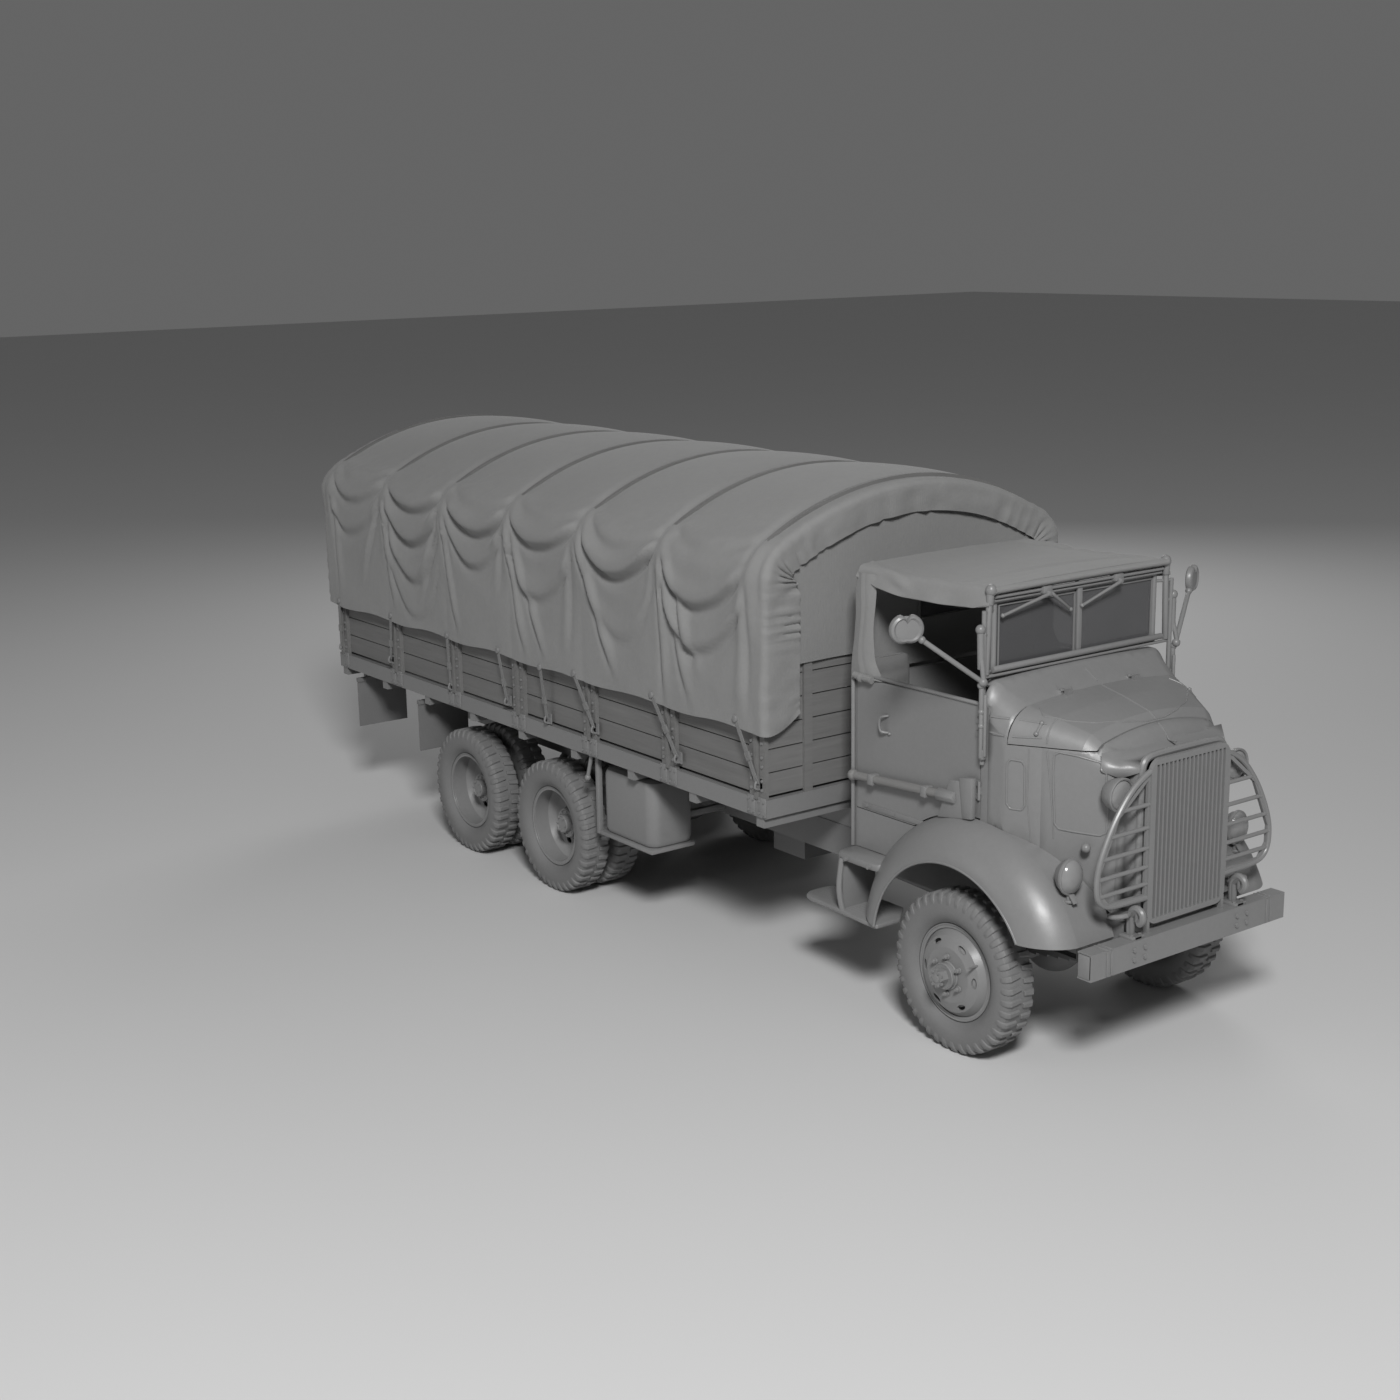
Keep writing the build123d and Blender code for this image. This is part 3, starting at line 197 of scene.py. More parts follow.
class Finish:
    """A principled material whose colour, roughness and bump are built up step by step."""

    def __init__(self, name, colour, roughness, **fixed):
        self.material = bpy.data.materials.new(name)
        self.material.use_nodes = True
        self.tree = self.material.node_tree
        self.shader = self.tree.nodes["Principled BSDF"]
        self.colour = tuple(colour)
        self.shader.inputs["Roughness"].default_value = roughness
        for key, value in fixed.items():
            self.shader.inputs[key.replace("_", " ").title()].default_value = value
        self.place = self.node("ShaderNodeTexCoord", output=3)
        self.tone = None
        self.height = None

    def node(self, kind, settings=None, inputs=None, output=0):
        return add_node(self.tree, kind, settings, inputs, output)

    def stretched(self, scale, source=None):
        """Coordinates scaled on each axis."""
        return self.node("ShaderNodeMapping", None, {0: source or self.place, 3: scale})

    def noise(self, scale, detail=3.0, source=None, rough=0.55):
        return self.node("ShaderNodeTexNoise", None,
                         {"Vector": source or self.place, "Scale": scale, "Detail": detail,
                          "Roughness": rough})

    def vary(self, wire, amount):
        """Lightens and darkens the colour by amount where wire runs from 1 to 0."""
        step = (wire - 0.5) * (2 * amount)
        self.tone = step if self.tone is None else self.tone + step

    def raise_by(self, wire, depth):
        """Adds wire times depth, in metres, to the height that the bump reads."""
        step = wire * depth
        self.height = step if self.height is None else self.height + step

    def roughen(self, wire, low, high):
        self.tree.links.new((wire * (high - low) + low).socket, self.shader.inputs["Roughness"])

    def finished(self):
        if self.tone is None:
            self.shader.inputs["Base Color"].default_value = (*self.colour, 1)
        else:
            lit = self.node("ShaderNodeVectorMath", {"operation": "SCALE"},
                            {0: self.colour, 3: self.tone + 1.0})
            self.tree.links.new(lit.socket, self.shader.inputs["Base Color"])
        if self.height is not None:
            bump = self.node("ShaderNodeBump", None, {"Height": self.height, "Distance": 1.0,
                                                      "Strength": 1.0})
            self.tree.links.new(bump.socket, self.shader.inputs["Normal"])
        return self.material


def dusty(finish, reach=1.1, amount=0.07):
    """Pale road dust that thins out upwards."""
    height = finish.node("ShaderNodeSeparateXYZ", None, {0: finish.place}, output=2)
    low = 1 - height.ramp(0.1, reach)
    finish.vary(low * finish.noise(3.0, 5.0) + 0.5, amount)


def painted_metal(name, colour, roughness=0.5):
    """Brushed-on matt paint: soft mottling, faint orange peel and low dust."""
    f = Finish(name, colour, roughness)
    f.vary(f.noise(1.7, 4.0), 0.07)
    f.vary(f.noise(34.0, 3.0), 0.05)
    dusty(f)
    f.roughen(f.noise(7.0, 4.0), roughness - 0.08, roughness + 0.12)
    f.raise_by(f.noise(160.0, 2.0), 0.00035)
    f.raise_by(f.noise(9.0, 2.0), 0.0012)
    return f.finished()


def moulded_rubber(name, colour):
    f = Finish(name, colour, 0.62)
    f.vary(f.noise(5.0, 4.0), 0.10)
    f.vary(f.noise(90.0, 2.0), 0.07)
    f.roughen(f.noise(14.0, 3.0), 0.52, 0.74)
    f.raise_by(f.noise(240.0, 2.0), 0.0005)
    return f.finished()


def woven_canvas(name, colour, threads=330.0):
    """Plain weave on the sheet's own map, which is in metres."""
    f = Finish(name, colour, 0.86, sheen_weight=0.12)
    flat = f.node("ShaderNodeTexCoord", output=2)
    for direction in ("X", "Y"):
        f.raise_by(f.node("ShaderNodeTexWave", {"bands_direction": direction},
                          {"Vector": flat, "Scale": threads / 6.28, "Distortion": 0.6, "Detail": 0.0},
                          output=1), 0.0003)
    f.vary(f.noise(1.3, 5.0), 0.09)
    f.vary(f.noise(26.0, 4.0), 0.05)
    f.vary(f.noise(1.0, 2.0, f.stretched((threads, 8.0, 1.0), flat)), 0.04)
    f.raise_by(f.noise(55.0, 4.0), 0.0016)
    f.roughen(f.noise(9.0, 3.0), 0.8, 0.94)
    return f.finished()


def seat_cloth(name, colour):
    f = Finish(name, colour, 0.7)
    f.vary(f.noise(12.0, 4.0), 0.12)
    f.raise_by(f.noise(210.0, 2.0), 0.0006)
    f.raise_by(f.noise(30.0, 3.0), 0.0014)
    return f.finished()


def planks(name, colour, along):
    """Painted wood whose grain runs along one axis."""
    f = Finish(name, colour, 0.68)
    scale = {"x": (1.4, 26.0, 26.0), "y": (26.0, 1.4, 26.0), "z": (26.0, 26.0, 1.4)}[along]
    grain = f.noise(1.0, 6.0, f.stretched(scale), 0.65)
    fine = f.noise(3.0, 4.0, f.stretched(scale))
    f.vary(grain, 0.22)
    f.vary(fine, 0.10)
    f.vary(f.noise(1.1, 3.0), 0.08)
    f.raise_by(grain, 0.0026)
    f.raise_by(fine, 0.0009)
    f.roughen(grain, 0.58, 0.8)
    return f.finished()


def clear_glass(name, colour=(0.085, 0.085, 0.088), alpha=0.80):
    f = Finish(name, colour, 0.08, alpha=alpha)
    f.roughen(f.noise(6.0, 3.0), 0.05, 0.2)
    f.vary(f.noise(2.5, 4.0), 0.12)
    return f.finished()


def bare_metal(name, colour, roughness):
    f = Finish(name, colour, roughness, metallic=0.7)
    f.vary(f.noise(28.0, 4.0), 0.12)
    f.roughen(f.noise(40.0, 3.0), roughness - 0.08, roughness + 0.15)
    f.raise_by(f.noise(190.0, 2.0), 0.0003)
    return f.finished()


FINISHES = {}


def make_finishes(colours):
    """Fills the table of finishes, by the names that the pieces use."""
    FINISHES.update({
        "paint": painted_metal("truck_paint", colours.paint, 0.36),
        "chassis": painted_metal("chassis_paint", colours.chassis, 0.56),
        "canvas": woven_canvas("cover_canvas", colours.canvas),
        "webbing": woven_canvas("strap_webbing", [c * 0.8 for c in colours.canvas], 700.0),
        "rubber": moulded_rubber("tyre_rubber", colours.rubber),
        "seat": seat_cloth("seat_cloth", [c * 0.72 for c in colours.canvas]),
        # The plank finishes take the wood colour, which holds painted shade of the cover
        "wood_x": planks("planks_lengthways", colours.wood, "x"),
        "wood_y": planks("planks_crossways", colours.wood, "y"),
        "wood_z": planks("posts_upright", colours.wood, "z"),
        "handle": planks("tool_handle", (0.175, 0.173, 0.17), "x"),
        "glass": clear_glass("window_glass"),
        "steel": bare_metal("bare_steel", (0.3, 0.3, 0.3), 0.38),
        "lens": clear_glass("lamp_glass", (0.30, 0.30, 0.30), 0.75),
    })


# Finish of each node that is not plain painted steel; the cloth ones are replaced later
CARRIED_OVER = {
    "chassis": ("chassis_frame", "tow_fittings", "radiator", "engine_and_gearbox", "transfer_case",
                "propeller_shafts",
                "front_axle_housing", "rear_axle_housings", "front_springs", "bogie_springs", "knuckle_left",
                "knuckle_right", "tie_rod", "steering_column", "steering_wheel"),
    "rubber": ("splash_flaps",),
    "canvas": ("cab_top", "canvas_cover"),
    "seat": ("seat_cushions",),
    "wood_x": ("side_racks", "cargo_floor"),
    "wood_y": ("front_rack", "tailgate", "tilt_bows"),
    "glass": ("windscreen_glass",),
}


def paint_nodes():
    """Gives every carried-over node its finish; the rest is painted steel."""
    finish_of = {node: finish for finish, nodes in CARRIED_OVER.items() for node in nodes}
    for name, obj in NODES.items():
        obj.data.materials.clear()
        kind = "rubber" if "tyre" in name else finish_of.get(name, "paint")
        obj.data.materials.append(FINISHES[kind])


# Modelling helpers


def deselect():
    if bpy.context.object and bpy.context.object.mode != "OBJECT":
        bpy.ops.object.mode_set(mode="OBJECT")
    bpy.ops.object.select_all(action="DESELECT")


def choose(*objects):
    """Selects these objects alone, the first one active."""
    deselect()
    for obj in objects:
        obj.select_set(True)
    bpy.context.view_layer.objects.active = objects[0]
    return objects[0]


def applied(obj, kind, **settings):
    """Adds a modifier, sets it and applies it."""
    choose(obj)
    modifier = obj.modifiers.new(kind.title(), kind)
    for name, value in settings.items():
        setattr(modifier, name, value)
    bpy.ops.object.modifier_apply(modifier=modifier.name)
    return obj


def rounded(obj, width, segments=2):
    if width:
        applied(obj, "BEVEL", width=width, segments=segments, limit_method="ANGLE", angle_limit=radians(40))
    return obj


def settle(obj):
    """Puts an object's place, turn and scale into its mesh."""
    choose(obj)
    bpy.ops.object.transform_apply(location=True, rotation=True, scale=True)
    return obj


def linked(name, data):
    """New object in the scene with this mesh or curve."""
    obj = bpy.data.objects.new(name, data)
    bpy.context.scene.collection.objects.link(obj)
    return obj


def faces_out(obj, weld=0.0):
    """Turns the faces outward, after welding points that lie closer than weld."""
    choose(obj)
    bpy.ops.object.mode_set(mode="EDIT")
    bpy.ops.mesh.select_all(action="SELECT")
    if weld:
        bpy.ops.mesh.remove_doubles(threshold=weld)
    bpy.ops.mesh.normals_make_consistent(inside=False)
    bpy.ops.object.mode_set(mode="OBJECT")
    return obj


def bar(low, high, edge=0.003, turn=None):
    """Square-edged piece between two corners, with its edges broken."""
    deselect()
    low, high = Vector(low), Vector(high)
    bpy.ops.mesh.primitive_cube_add(size=1, location=(low + high) / 2, rotation=turn or (0, 0, 0),
                                    scale=high - low)
    return rounded(settle(bpy.context.object), edge)


def rod(start, end, radius, sides=14, edge=0.0, tip=None):
    """Round piece between two points, or a taper to the tip radius."""
    deselect()
    start, end = Vector(start), Vector(end)
    along = end - start
    bpy.ops.mesh.primitive_cone_add(
        vertices=sides, radius1=radius, radius2=radius if tip is None else tip, depth=along.length,
        location=(start + end) / 2, rotation=along.to_track_quat("Z", "Y").to_euler())
    return rounded(settle(bpy.context.object), edge)


def ball(centre, radius, squash=(1, 1, 1)):
    deselect()
    bpy.ops.mesh.primitive_uv_sphere_add(segments=16, ring_count=10, radius=radius, location=centre,
                                         scale=squash)
    return settle(bpy.context.object)


def strap(start, end, width, thickness, outward, edge=0.0):
    """Flat bar between two points, its broad side turned outward."""
    start, end = Vector(start), Vector(end)
    along = (end - start).normalized()
    across = Vector(outward).cross(along).normalized()
    depth = along.cross(across)
    deselect()
    bpy.ops.mesh.primitive_cube_add(size=1, scale=(width, thickness, (end - start).length))
    obj = settle(bpy.context.object)
    turn = Matrix((across, depth, along)).transposed().to_4x4()
    obj.data.transform(Matrix.Translation((start + end) / 2) @ turn)
    return rounded(faces_out(obj), edge)


def facing(point, normal, twist=0.0):
    """Matrix that stands a piece made along +Z on a point, along normal."""
    turn = Vector(normal).to_track_quat("Z", "Y").to_matrix().to_4x4()
    return Matrix.Translation(point) @ turn @ Matrix.Rotation(twist, 4, "Z")


def bolts(spots, radius=0.009, height=0.007, sides=6):
    """Bolt heads on (point, normal) spots."""
    return copies(rod((0, 0, 0), (0, 0, height), radius, sides), [facing(p, n) for p, n in spots])


def between(points, step=0.03):
    """The points of a polyline, no further apart than step."""
    out = []
    for a, b in zip(points, points[1:]):
        a, b = Vector(a), Vector(b)
        count = max(1, ceil((b - a).length / step))
        out += [a.lerp(b, n / count) for n in range(count)]
    return [*out, Vector(points[-1])]


def skins(*names):
    """The surfaces of these nodes, to lay trim on."""
    out = []
    for name in names:
        mesh = NODES[name].data
        out.append(BVHTree.FromPolygons([v.co for v in mesh.vertices], [p.vertices for p in mesh.polygons]))
    return out


def laid(trees, spots, way, lift=0.0):
    """Points where rays through these spots, along way, first meet the surfaces."""
    way, out = Vector(way).normalized(), []
    for spot in spots:
        hits = [tree.ray_cast(Vector(spot) - way * 3, way) for tree in trees]
        hits = [hit for hit in hits if hit[0] is not None]
        if hits:
            out.append(min(hits, key=lambda hit: hit[3])[0] - way * lift)
    return out


def tube(points, radius, resolution=3, curved=True):
    """Round tube along points, smooth between them."""
    deselect()
    curve = bpy.data.curves.new("tube", "CURVE")
    curve.dimensions = "3D"
    curve.bevel_depth, curve.bevel_resolution, curve.use_fill_caps = radius, resolution, True
    line = curve.splines.new("NURBS" if curved else "POLY")
    line.points.add(len(points) - 1)
    for point, co in zip(line.points, points):
        point.co = (*co, 1)
    if curved:
        line.order_u, line.use_endpoint_u, line.resolution_u = 3, True, 8
    choose(linked("tube", curve))
    bpy.ops.object.convert(target="MESH")
    return bpy.context.object


def turned(profile, centre, axis="y", steps=48):
    """Surface of revolution from (along, radius) points, spun about an axis through centre."""
    mesh = bpy.data.meshes.new("turned")
    way = {"x": Vector((1, 0, 0)), "y": Vector((0, 1, 0)), "z": Vector((0, 0, 1))}[axis]
    across = Vector((0, 0, 1)) if axis != "z" else Vector((1, 0, 0))
    centre = Vector(centre)
    points = [centre + way * a + across * r for a, r in profile]
    mesh.from_pydata(points, [(i, i + 1) for i in range(len(points) - 1)], [])
    obj = choose(linked("turned", mesh))
    bpy.ops.object.mode_set(mode="EDIT")
    bpy.ops.mesh.select_all(action="SELECT")
    bpy.ops.mesh.spin(steps=steps, angle=2 * pi, center=centre, axis=way)
    return faces_out(obj, 0.00005)


def copies(obj, places):
    """The piece once at each of these matrices, as one mesh; the first piece is used up."""
    out = bmesh.new()
    for matrix in places:
        part = obj.data.copy()
        part.transform(matrix)
        if matrix.determinant() < 0:
            part.flip_normals()
        out.from_mesh(part)
        bpy.data.meshes.remove(part)
    out.to_mesh(obj.data)
    out.free()
    return obj


def stretched(obj, level, share):
    """Stretches the piece upward about a level."""
    for vertex in obj.data.vertices:
        vertex.co.z = level + (vertex.co.z - level) * share
    return obj


def reshaped(node, move=None):
    """A merged copy of a CAD node's mesh, its vertices moved on the way."""
    obj = faces_out(linked("reshaped", NODES[node].data.copy()), 0.0002)
    for vertex in obj.data.vertices if move else ():
        vertex.co = move(vertex.co)
    return obj


def prism(near, far, edge):
    """Closed piece between two outlines with as many corners."""
    count = len(near)
    faces = [list(range(count)), list(range(2 * count - 1, count - 1, -1))]
    faces += [[n, n + count, (n + 1) % count + count, (n + 1) % count] for n in range(count)]
    return rounded(from_faces("prism", near + far, faces), edge)


def plate(corners, y, thickness, edge=0.003):
    """Flat plate standing along the truck, from (x, z) corners measured from the front axle."""
    near, far = ([at(x, y + way * thickness / 2, z) for x, z in corners] for way in (-1, 1))
    return prism(near, far, edge)


def board(outline, low, high, edge):
    """Flat board lying level, from (x, y) corners measured from the front axle."""
    near, far = ([at(x, y, z) for x, y in outline] for z in (low, high))
    return prism(near, far, edge)


def joined(pieces):
    choose(*pieces)
    if len(pieces) > 1:
        bpy.ops.object.join()
    return bpy.context.object


def finished(name, pieces, finish, body="root", smooth=35):
    """Joins the pieces, names and paints the result, and makes it ride on its body."""
    obj = settle(joined(pieces))
    obj.name = obj.data.name = name
    obj.data.materials.clear()
    obj.data.materials.append(FINISHES[finish])
    for face in obj.data.polygons:
        face.material_index = 0
    bpy.ops.object.shade_smooth_by_angle(angle=radians(smooth))
    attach(obj, body)
    return obj


def sheet_from_grid(name, rows, thickness, flat):
    """Cloth from rows of points, with a map in metres, given its thickness."""
    mesh = bpy.data.meshes.new(name)
    wide = len(rows[0])
    faces = [(r * wide + c, (r + 1) * wide + c, (r + 1) * wide + c + 1, r * wide + c + 1)
             for r in range(len(rows) - 1) for c in range(wide - 1)]
    mesh.from_pydata([p for row in rows for p in row], [], faces)
    layer = mesh.uv_layers.new(name="flat")
    for loop in mesh.loops:
        r, c = divmod(loop.vertex_index, wide)
        layer.data[loop.index].uv = (flat[0] * r / (len(rows) - 1), flat[1] * c / (wide - 1))
    obj = linked(name, mesh)
    if thickness:
        applied(obj, "SOLIDIFY", thickness=thickness, offset=-1.0)
    return obj


# The cargo cover

PEAK_Z = COVER_HIGH.z - 0.034
HEM_Z = COVER_LOW.z
WALL_Y = COVER_HIGH.y + 0.010
CROWN_RADIUS = 2.05
SHOULDER_RADIUS = 0.24
BOW_COUNT = 7
BOW_FRONT = BOW_HIGH.x - 0.015
BOW_PITCH = (BOW_HIGH.x - BOW_LOW.x - 0.03) / (BOW_COUNT - 1)
CROWN_ANGLE = atan2(WALL_Y - SHOULDER_RADIUS,
                    sqrt((CROWN_RADIUS - SHOULDER_RADIUS) ** 2 - (WALL_Y - SHOULDER_RADIUS) ** 2))
CROWN_HALF = CROWN_RADIUS * CROWN_ANGLE
SHOULDER_HALF = CROWN_HALF + SHOULDER_RADIUS * (pi / 2 - CROWN_ANGLE)
WALL_TOP = PEAK_Z - CROWN_RADIUS + (CROWN_RADIUS - SHOULDER_RADIUS) * cos(CROWN_ANGLE)
ARCH_HALF = SHOULDER_HALF + WALL_TOP - HEM_Z
KNOT = CROWN_HALF + 0.10
RACK_TOP_HALF = SHOULDER_HALF + WALL_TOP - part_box("side_racks")[1].z
COVER_FRONT, COVER_REAR = COVER_HIGH.x - 0.035, COVER_LOW.x + 0.035
COVER_LIP = 0.035
WALL_TAPE_RISE = 0.36
# Below the knots the folds stand out up to the first of these, and past it by less than the second
FOLD_STAND, FOLD_GIVE = 0.034, 0.024

# Swags of the bays on the right, front bay first
SWAGS = (
    # fall below the knots at the bows, extra fall where lowest, share of the bay to there, height
    ((0.00, 0.30, 0.62, 1.0), (0.16, 0.40, 0.62, 0.9), (-0.17, 0.12, 0.60, 0.35)),
    ((-0.04, 0.27, 0.58, 1.5), (-0.12, 0.17, 0.50, 0.45), (0.10, 0.52, 0.50, 0.35)),
    ((-0.03, 0.18, 0.60, 1.15), (0.08, 0.42, 0.62, 0.7), (-0.12, 0.10, 0.50, 0.35)),
    ((-0.03, 0.19, 0.45, 1.25), (0.03, 0.36, 0.50, 0.8), (-0.13, 0.12, 0.45, 0.40)),
    ((-0.04, 0.13, 0.50, 1.2), (0.01, 0.32, 0.52, 1.15), (0.10, 0.50, 0.50, 0.8), (0.28, 0.60, 0.48, 0.4)),
    ((-0.06, 0.17, 0.60, 0.7), (-0.18, 0.14, 0.60, 0.5), (0.06, 0.30, 0.70, 0.5)),
)
# Pleats that fall from the knots on the right
PLEATS = (
    # bow from the front, start beside it, start and end of the fall, lean at the hem, width, height
    (0, -0.05, 0.10, 0.95, -0.02, 0.032, 0.8),
    (1, -0.06, 0.05, 0.42, -0.18, 0.028, 0.6),
    (1, 0.00, 0.04, 1.00, 0.03, 0.026, 1.1),
    (1, 0.03, 0.14, 0.98, 0.33, 0.028, 1.0),
    (1, 0.07, 0.06, 0.75, 0.46, 0.030, 1.4),
    (2, -0.10, 0.08, 0.90, -0.08, 0.032, 0.6),
    (2, -0.02, 0.06, 0.94, 0.45, 0.030, 1.4),
    (2, 0.06, 0.12, 0.60, 0.35, 0.026, 0.6),
    (3, -0.08, 0.08, 0.62, -0.14, 0.032, 0.6),
    (3, -0.02, 0.05, 0.98, 0.22, 0.026, 1.2),
    (3, 0.05, 0.10, 0.97, 0.46, 0.026, 1.2),
    (4, -0.05, 0.06, 0.82, -0.42, 0.030, 1.1),
    (4, 0.00, 0.06, 0.97, 0.19, 0.026, 1.2),
    (4, 0.05, 0.12, 0.55, 0.30, 0.026, 0.6),
    (5, -0.05, 0.04, 0.78, -0.45, 0.030, 1.0),
    (5, 0.00, 0.04, 0.92, 0.12, 0.026, 1.3),
    (5, 0.05, 0.08, 0.60, 0.35, 0.026, 0.7),
    (6, 0.06, 0.10, 0.95, 0.05, 0.032, 0.8),
)


def arch(t):
    """Point (y, z) and outward normal on the arch at distance t from its peak."""
    side, t = (1 if t >= 0 else -1), abs(t)
    if t < CROWN_HALF:
        angle = t / CROWN_RADIUS
        y, z = CROWN_RADIUS * sin(angle), PEAK_Z - CROWN_RADIUS + CROWN_RADIUS * cos(angle)
    elif t < SHOULDER_HALF:
        angle = CROWN_ANGLE + (t - CROWN_HALF) / SHOULDER_RADIUS
        y = WALL_Y - SHOULDER_RADIUS + SHOULDER_RADIUS * sin(angle)
        z = WALL_TOP + SHOULDER_RADIUS * (cos(angle) - cos(pi / 2))
    else:
        angle, y, z = pi / 2, WALL_Y, WALL_TOP - (t - SHOULDER_HALF)
    return side * y, z, side * sin(angle), cos(angle)


def soft_step(value, low, high):
    share = min(max((value - low) / (high - low), 0.0), 1.0)
    return share * share * (3 - 2 * share)


def bell(distance, width):
    return exp(-(distance / width) ** 2)


def swag_fold(q):
    """Section of a swag, q below its line: cloth that swells over a steep, hollow underside."""
    return bell(q, 1.7 if q < 0 else 0.75) - 0.75 * bell(q - 1.65, 0.8)


def pleat_fold(q):
    """Section of a pleat: a soft ridge with a narrow valley behind it."""
    return bell(q - 0.7, 0.95) - 0.85 * bell(q + 0.75, 0.5)


def bay_swags(bay, share, fall, mirrored):
    """Height of the swags of one bay, share of the way back through it."""
    total = 0.0
    for start, dip, lowest, height in SWAGS[(bay + 3 * mirrored) % len(SWAGS)]:
        if mirrored:
            lowest = 1 - lowest
        half = share / lowest if share < lowest else (1 - share) / (1 - lowest)
        sag = 1 - (1 - half) ** 2
        width = 0.020 + 0.030 * sag
        line = start + dip * sag ** 0.9
        total += height * soft_step(sag, 0.05, 0.55) * swag_fold((fall - line) / width)
    return total


def pleats(x, fall, mirrored):
    total = 0.0
    for bow, beside, start, end, lean, width, height in PLEATS:
        if mirrored:
            bow, beside, lean = BOW_COUNT - 1 - bow, -beside, -0.8 * lean
        run = soft_step(fall, start, start + 0.16) * (1 - soft_step(fall, end - 0.30, end + 0.05))
        gap = x - (BOW_FRONT - BOW_PITCH * bow) - beside - lean * max(fall - start, 0.0) ** 1.15
        spread = width * (0.75 + 0.8 * max(fall, 0.0))
        if run and abs(gap) < 4 * spread:
            way = 1 if lean >= 0 else -1
            total += height * run * pleat_fold(way * gap / spread)
    return total


def cover_height(x, t, sizes):
    """How far the cloth stands out of the plain arch."""
    mirrored = t > 0
    fall = abs(t) - KNOT
    bay = (BOW_FRONT - x) / BOW_PITCH
    index = int(floor(bay))
    share = bay - index
    near_bow = abs(share - round(share)) * BOW_PITCH
    out = 0.0
    if 0 <= index < BOW_COUNT - 1:
        roof = 1 - soft_step(abs(t), CROWN_HALF * 0.6, CROWN_HALF + 0.14)
        # The belly leans back against the bow behind it, so the cloth creases beside each bow
        lopsided = share ** 0.8
        out += sizes.belly * (1 - (2 * lopsided - 1) ** 2) ** 0.6 * (0.35 + 0.65 * roof)
        valley = soft_step(abs(t), 0.45, CROWN_HALF) * (1 - soft_step(fall, 0.0, 0.10))
        out -= 0.020 * valley * bell(share * BOW_PITCH - 0.055, 0.030)
        started = soft_step(abs(t), CROWN_HALF - 0.3, CROWN_HALF - 0.1)
        out += sizes.swag * bay_swags(index, share, fall, mirrored) * started
    out += 0.024 * bell(near_bow, 0.055) * soft_step(fall, -0.30, 0.0) * (1 - soft_step(fall, 0.15, 0.7))
    out += sizes.pleat * pleats(x, fall, mirrored)
    wobble = noise.noise(Vector((x * 2.1, t * 2.0, 3.1))) * 0.014
    wobble += noise.noise(Vector((x * 6.0, t * 5.0, 7.7))) * 0.005
    out += wobble * soft_step(abs(t), 0.5, CROWN_HALF + 0.2)
    small = noise.noise(Vector((x * 5.0 + t * 6.0, (x * 0.8 - t) * 16.0, 1.3)))
    out += 0.006 * small * bell(fall + 0.12, 0.13)
    lowest = -0.012 if near_bow < 0.04 or abs(t) > RACK_TOP_HALF - 0.05 else -0.055
    if fall > 0 and out > FOLD_STAND:
        out = FOLD_STAND + FOLD_GIVE * tanh((out - FOLD_STAND) / FOLD_GIVE)
    return max(out, lowest)


def band_width(t):
    """How far the end bands turn in."""
    return 0.150 + 0.075 * soft_step(abs(t), CROWN_HALF + 0.05, SHOULDER_HALF + 0.1)


def band_relief(t, share, sizes):
    """Relief of a drawn-in end band: gathers, a soft roll at the shoulder and a pinch under it."""
    low = soft_step(abs(t), SHOULDER_HALF, SHOULDER_HALF + 0.12)
    beat = abs(t) / (0.072 - 0.030 * low) + 1.2 * noise.noise(Vector((t * 2.3, 0.5, 9.0)))
    gather = (abs(sin(pi * beat)) ** 0.7 - 0.6) * (0.25 + 0.75 * soft_step(share, 0.05, 0.6))
    gather *= 1 - 0.85 * soft_step(abs(t), SHOULDER_HALF + 0.28, SHOULDER_HALF + 0.42)
    small = noise.noise(Vector((t * 24.0, share * 2.0, 2.0)))
    roll = 0.026 * bell(abs(t) - SHOULDER_HALF + 0.05, 0.10) * (1 - 0.5 * share)
    pinch = 0.030 * bell(abs(t) - SHOULDER_HALF - 0.09 + 0.05 * share, 0.018) * soft_step(share, 0.15, 0.7)
    return sizes.pucker * (gather + 0.35 * small) + roll - pinch


def cover_point(base, end, turn, share, t, sizes):
    """Point of the cloth at a station: base is its x, end 1 at the front and -1 at the rear, where turn and
    share follow it round the lip and along the band."""
    y, z, ny, nz = arch(t)
    out = cover_height(base, t, sizes) * (1 - 0.75 * soft_step(turn, 0, pi / 2))
    x = base + end * COVER_LIP * sin(turn)
    drop = COVER_LIP * (1 - cos(turn)) + share * band_width(t)
    if end:
        relief = band_relief(t, share, sizes)
        x += end * relief * sin(turn) * 0.8 - end * 0.012 * share
        out += 0.5 * relief * cos(turn)
    hem = soft_step(abs(t), ARCH_HALF - 0.25, ARCH_HALF)
    lift = hem * (0.006 + 0.022 * sin(x * 3.65) ** 2 + 0.10 * share ** 2)
    return x, y + ny * (out - drop), z + nz * (out - drop) + lift


def cover_ts(spacing):
    """Distances along the arch: sparse on the crown, dense where the cloth folds."""
    ts, t = [], 0.0
    while t < ARCH_HALF - spacing * 0.6:
        ts.append(t)
        crown, swags = t < CROWN_HALF * 0.66, KNOT - 0.12 < t < KNOT + 0.50
        t += spacing * (3.2 if crown else 0.9 if swags else 1.7)
    half = [*ts[1:], ARCH_HALF]
    return [-v for v in half[::-1]] + [0.0, *half]


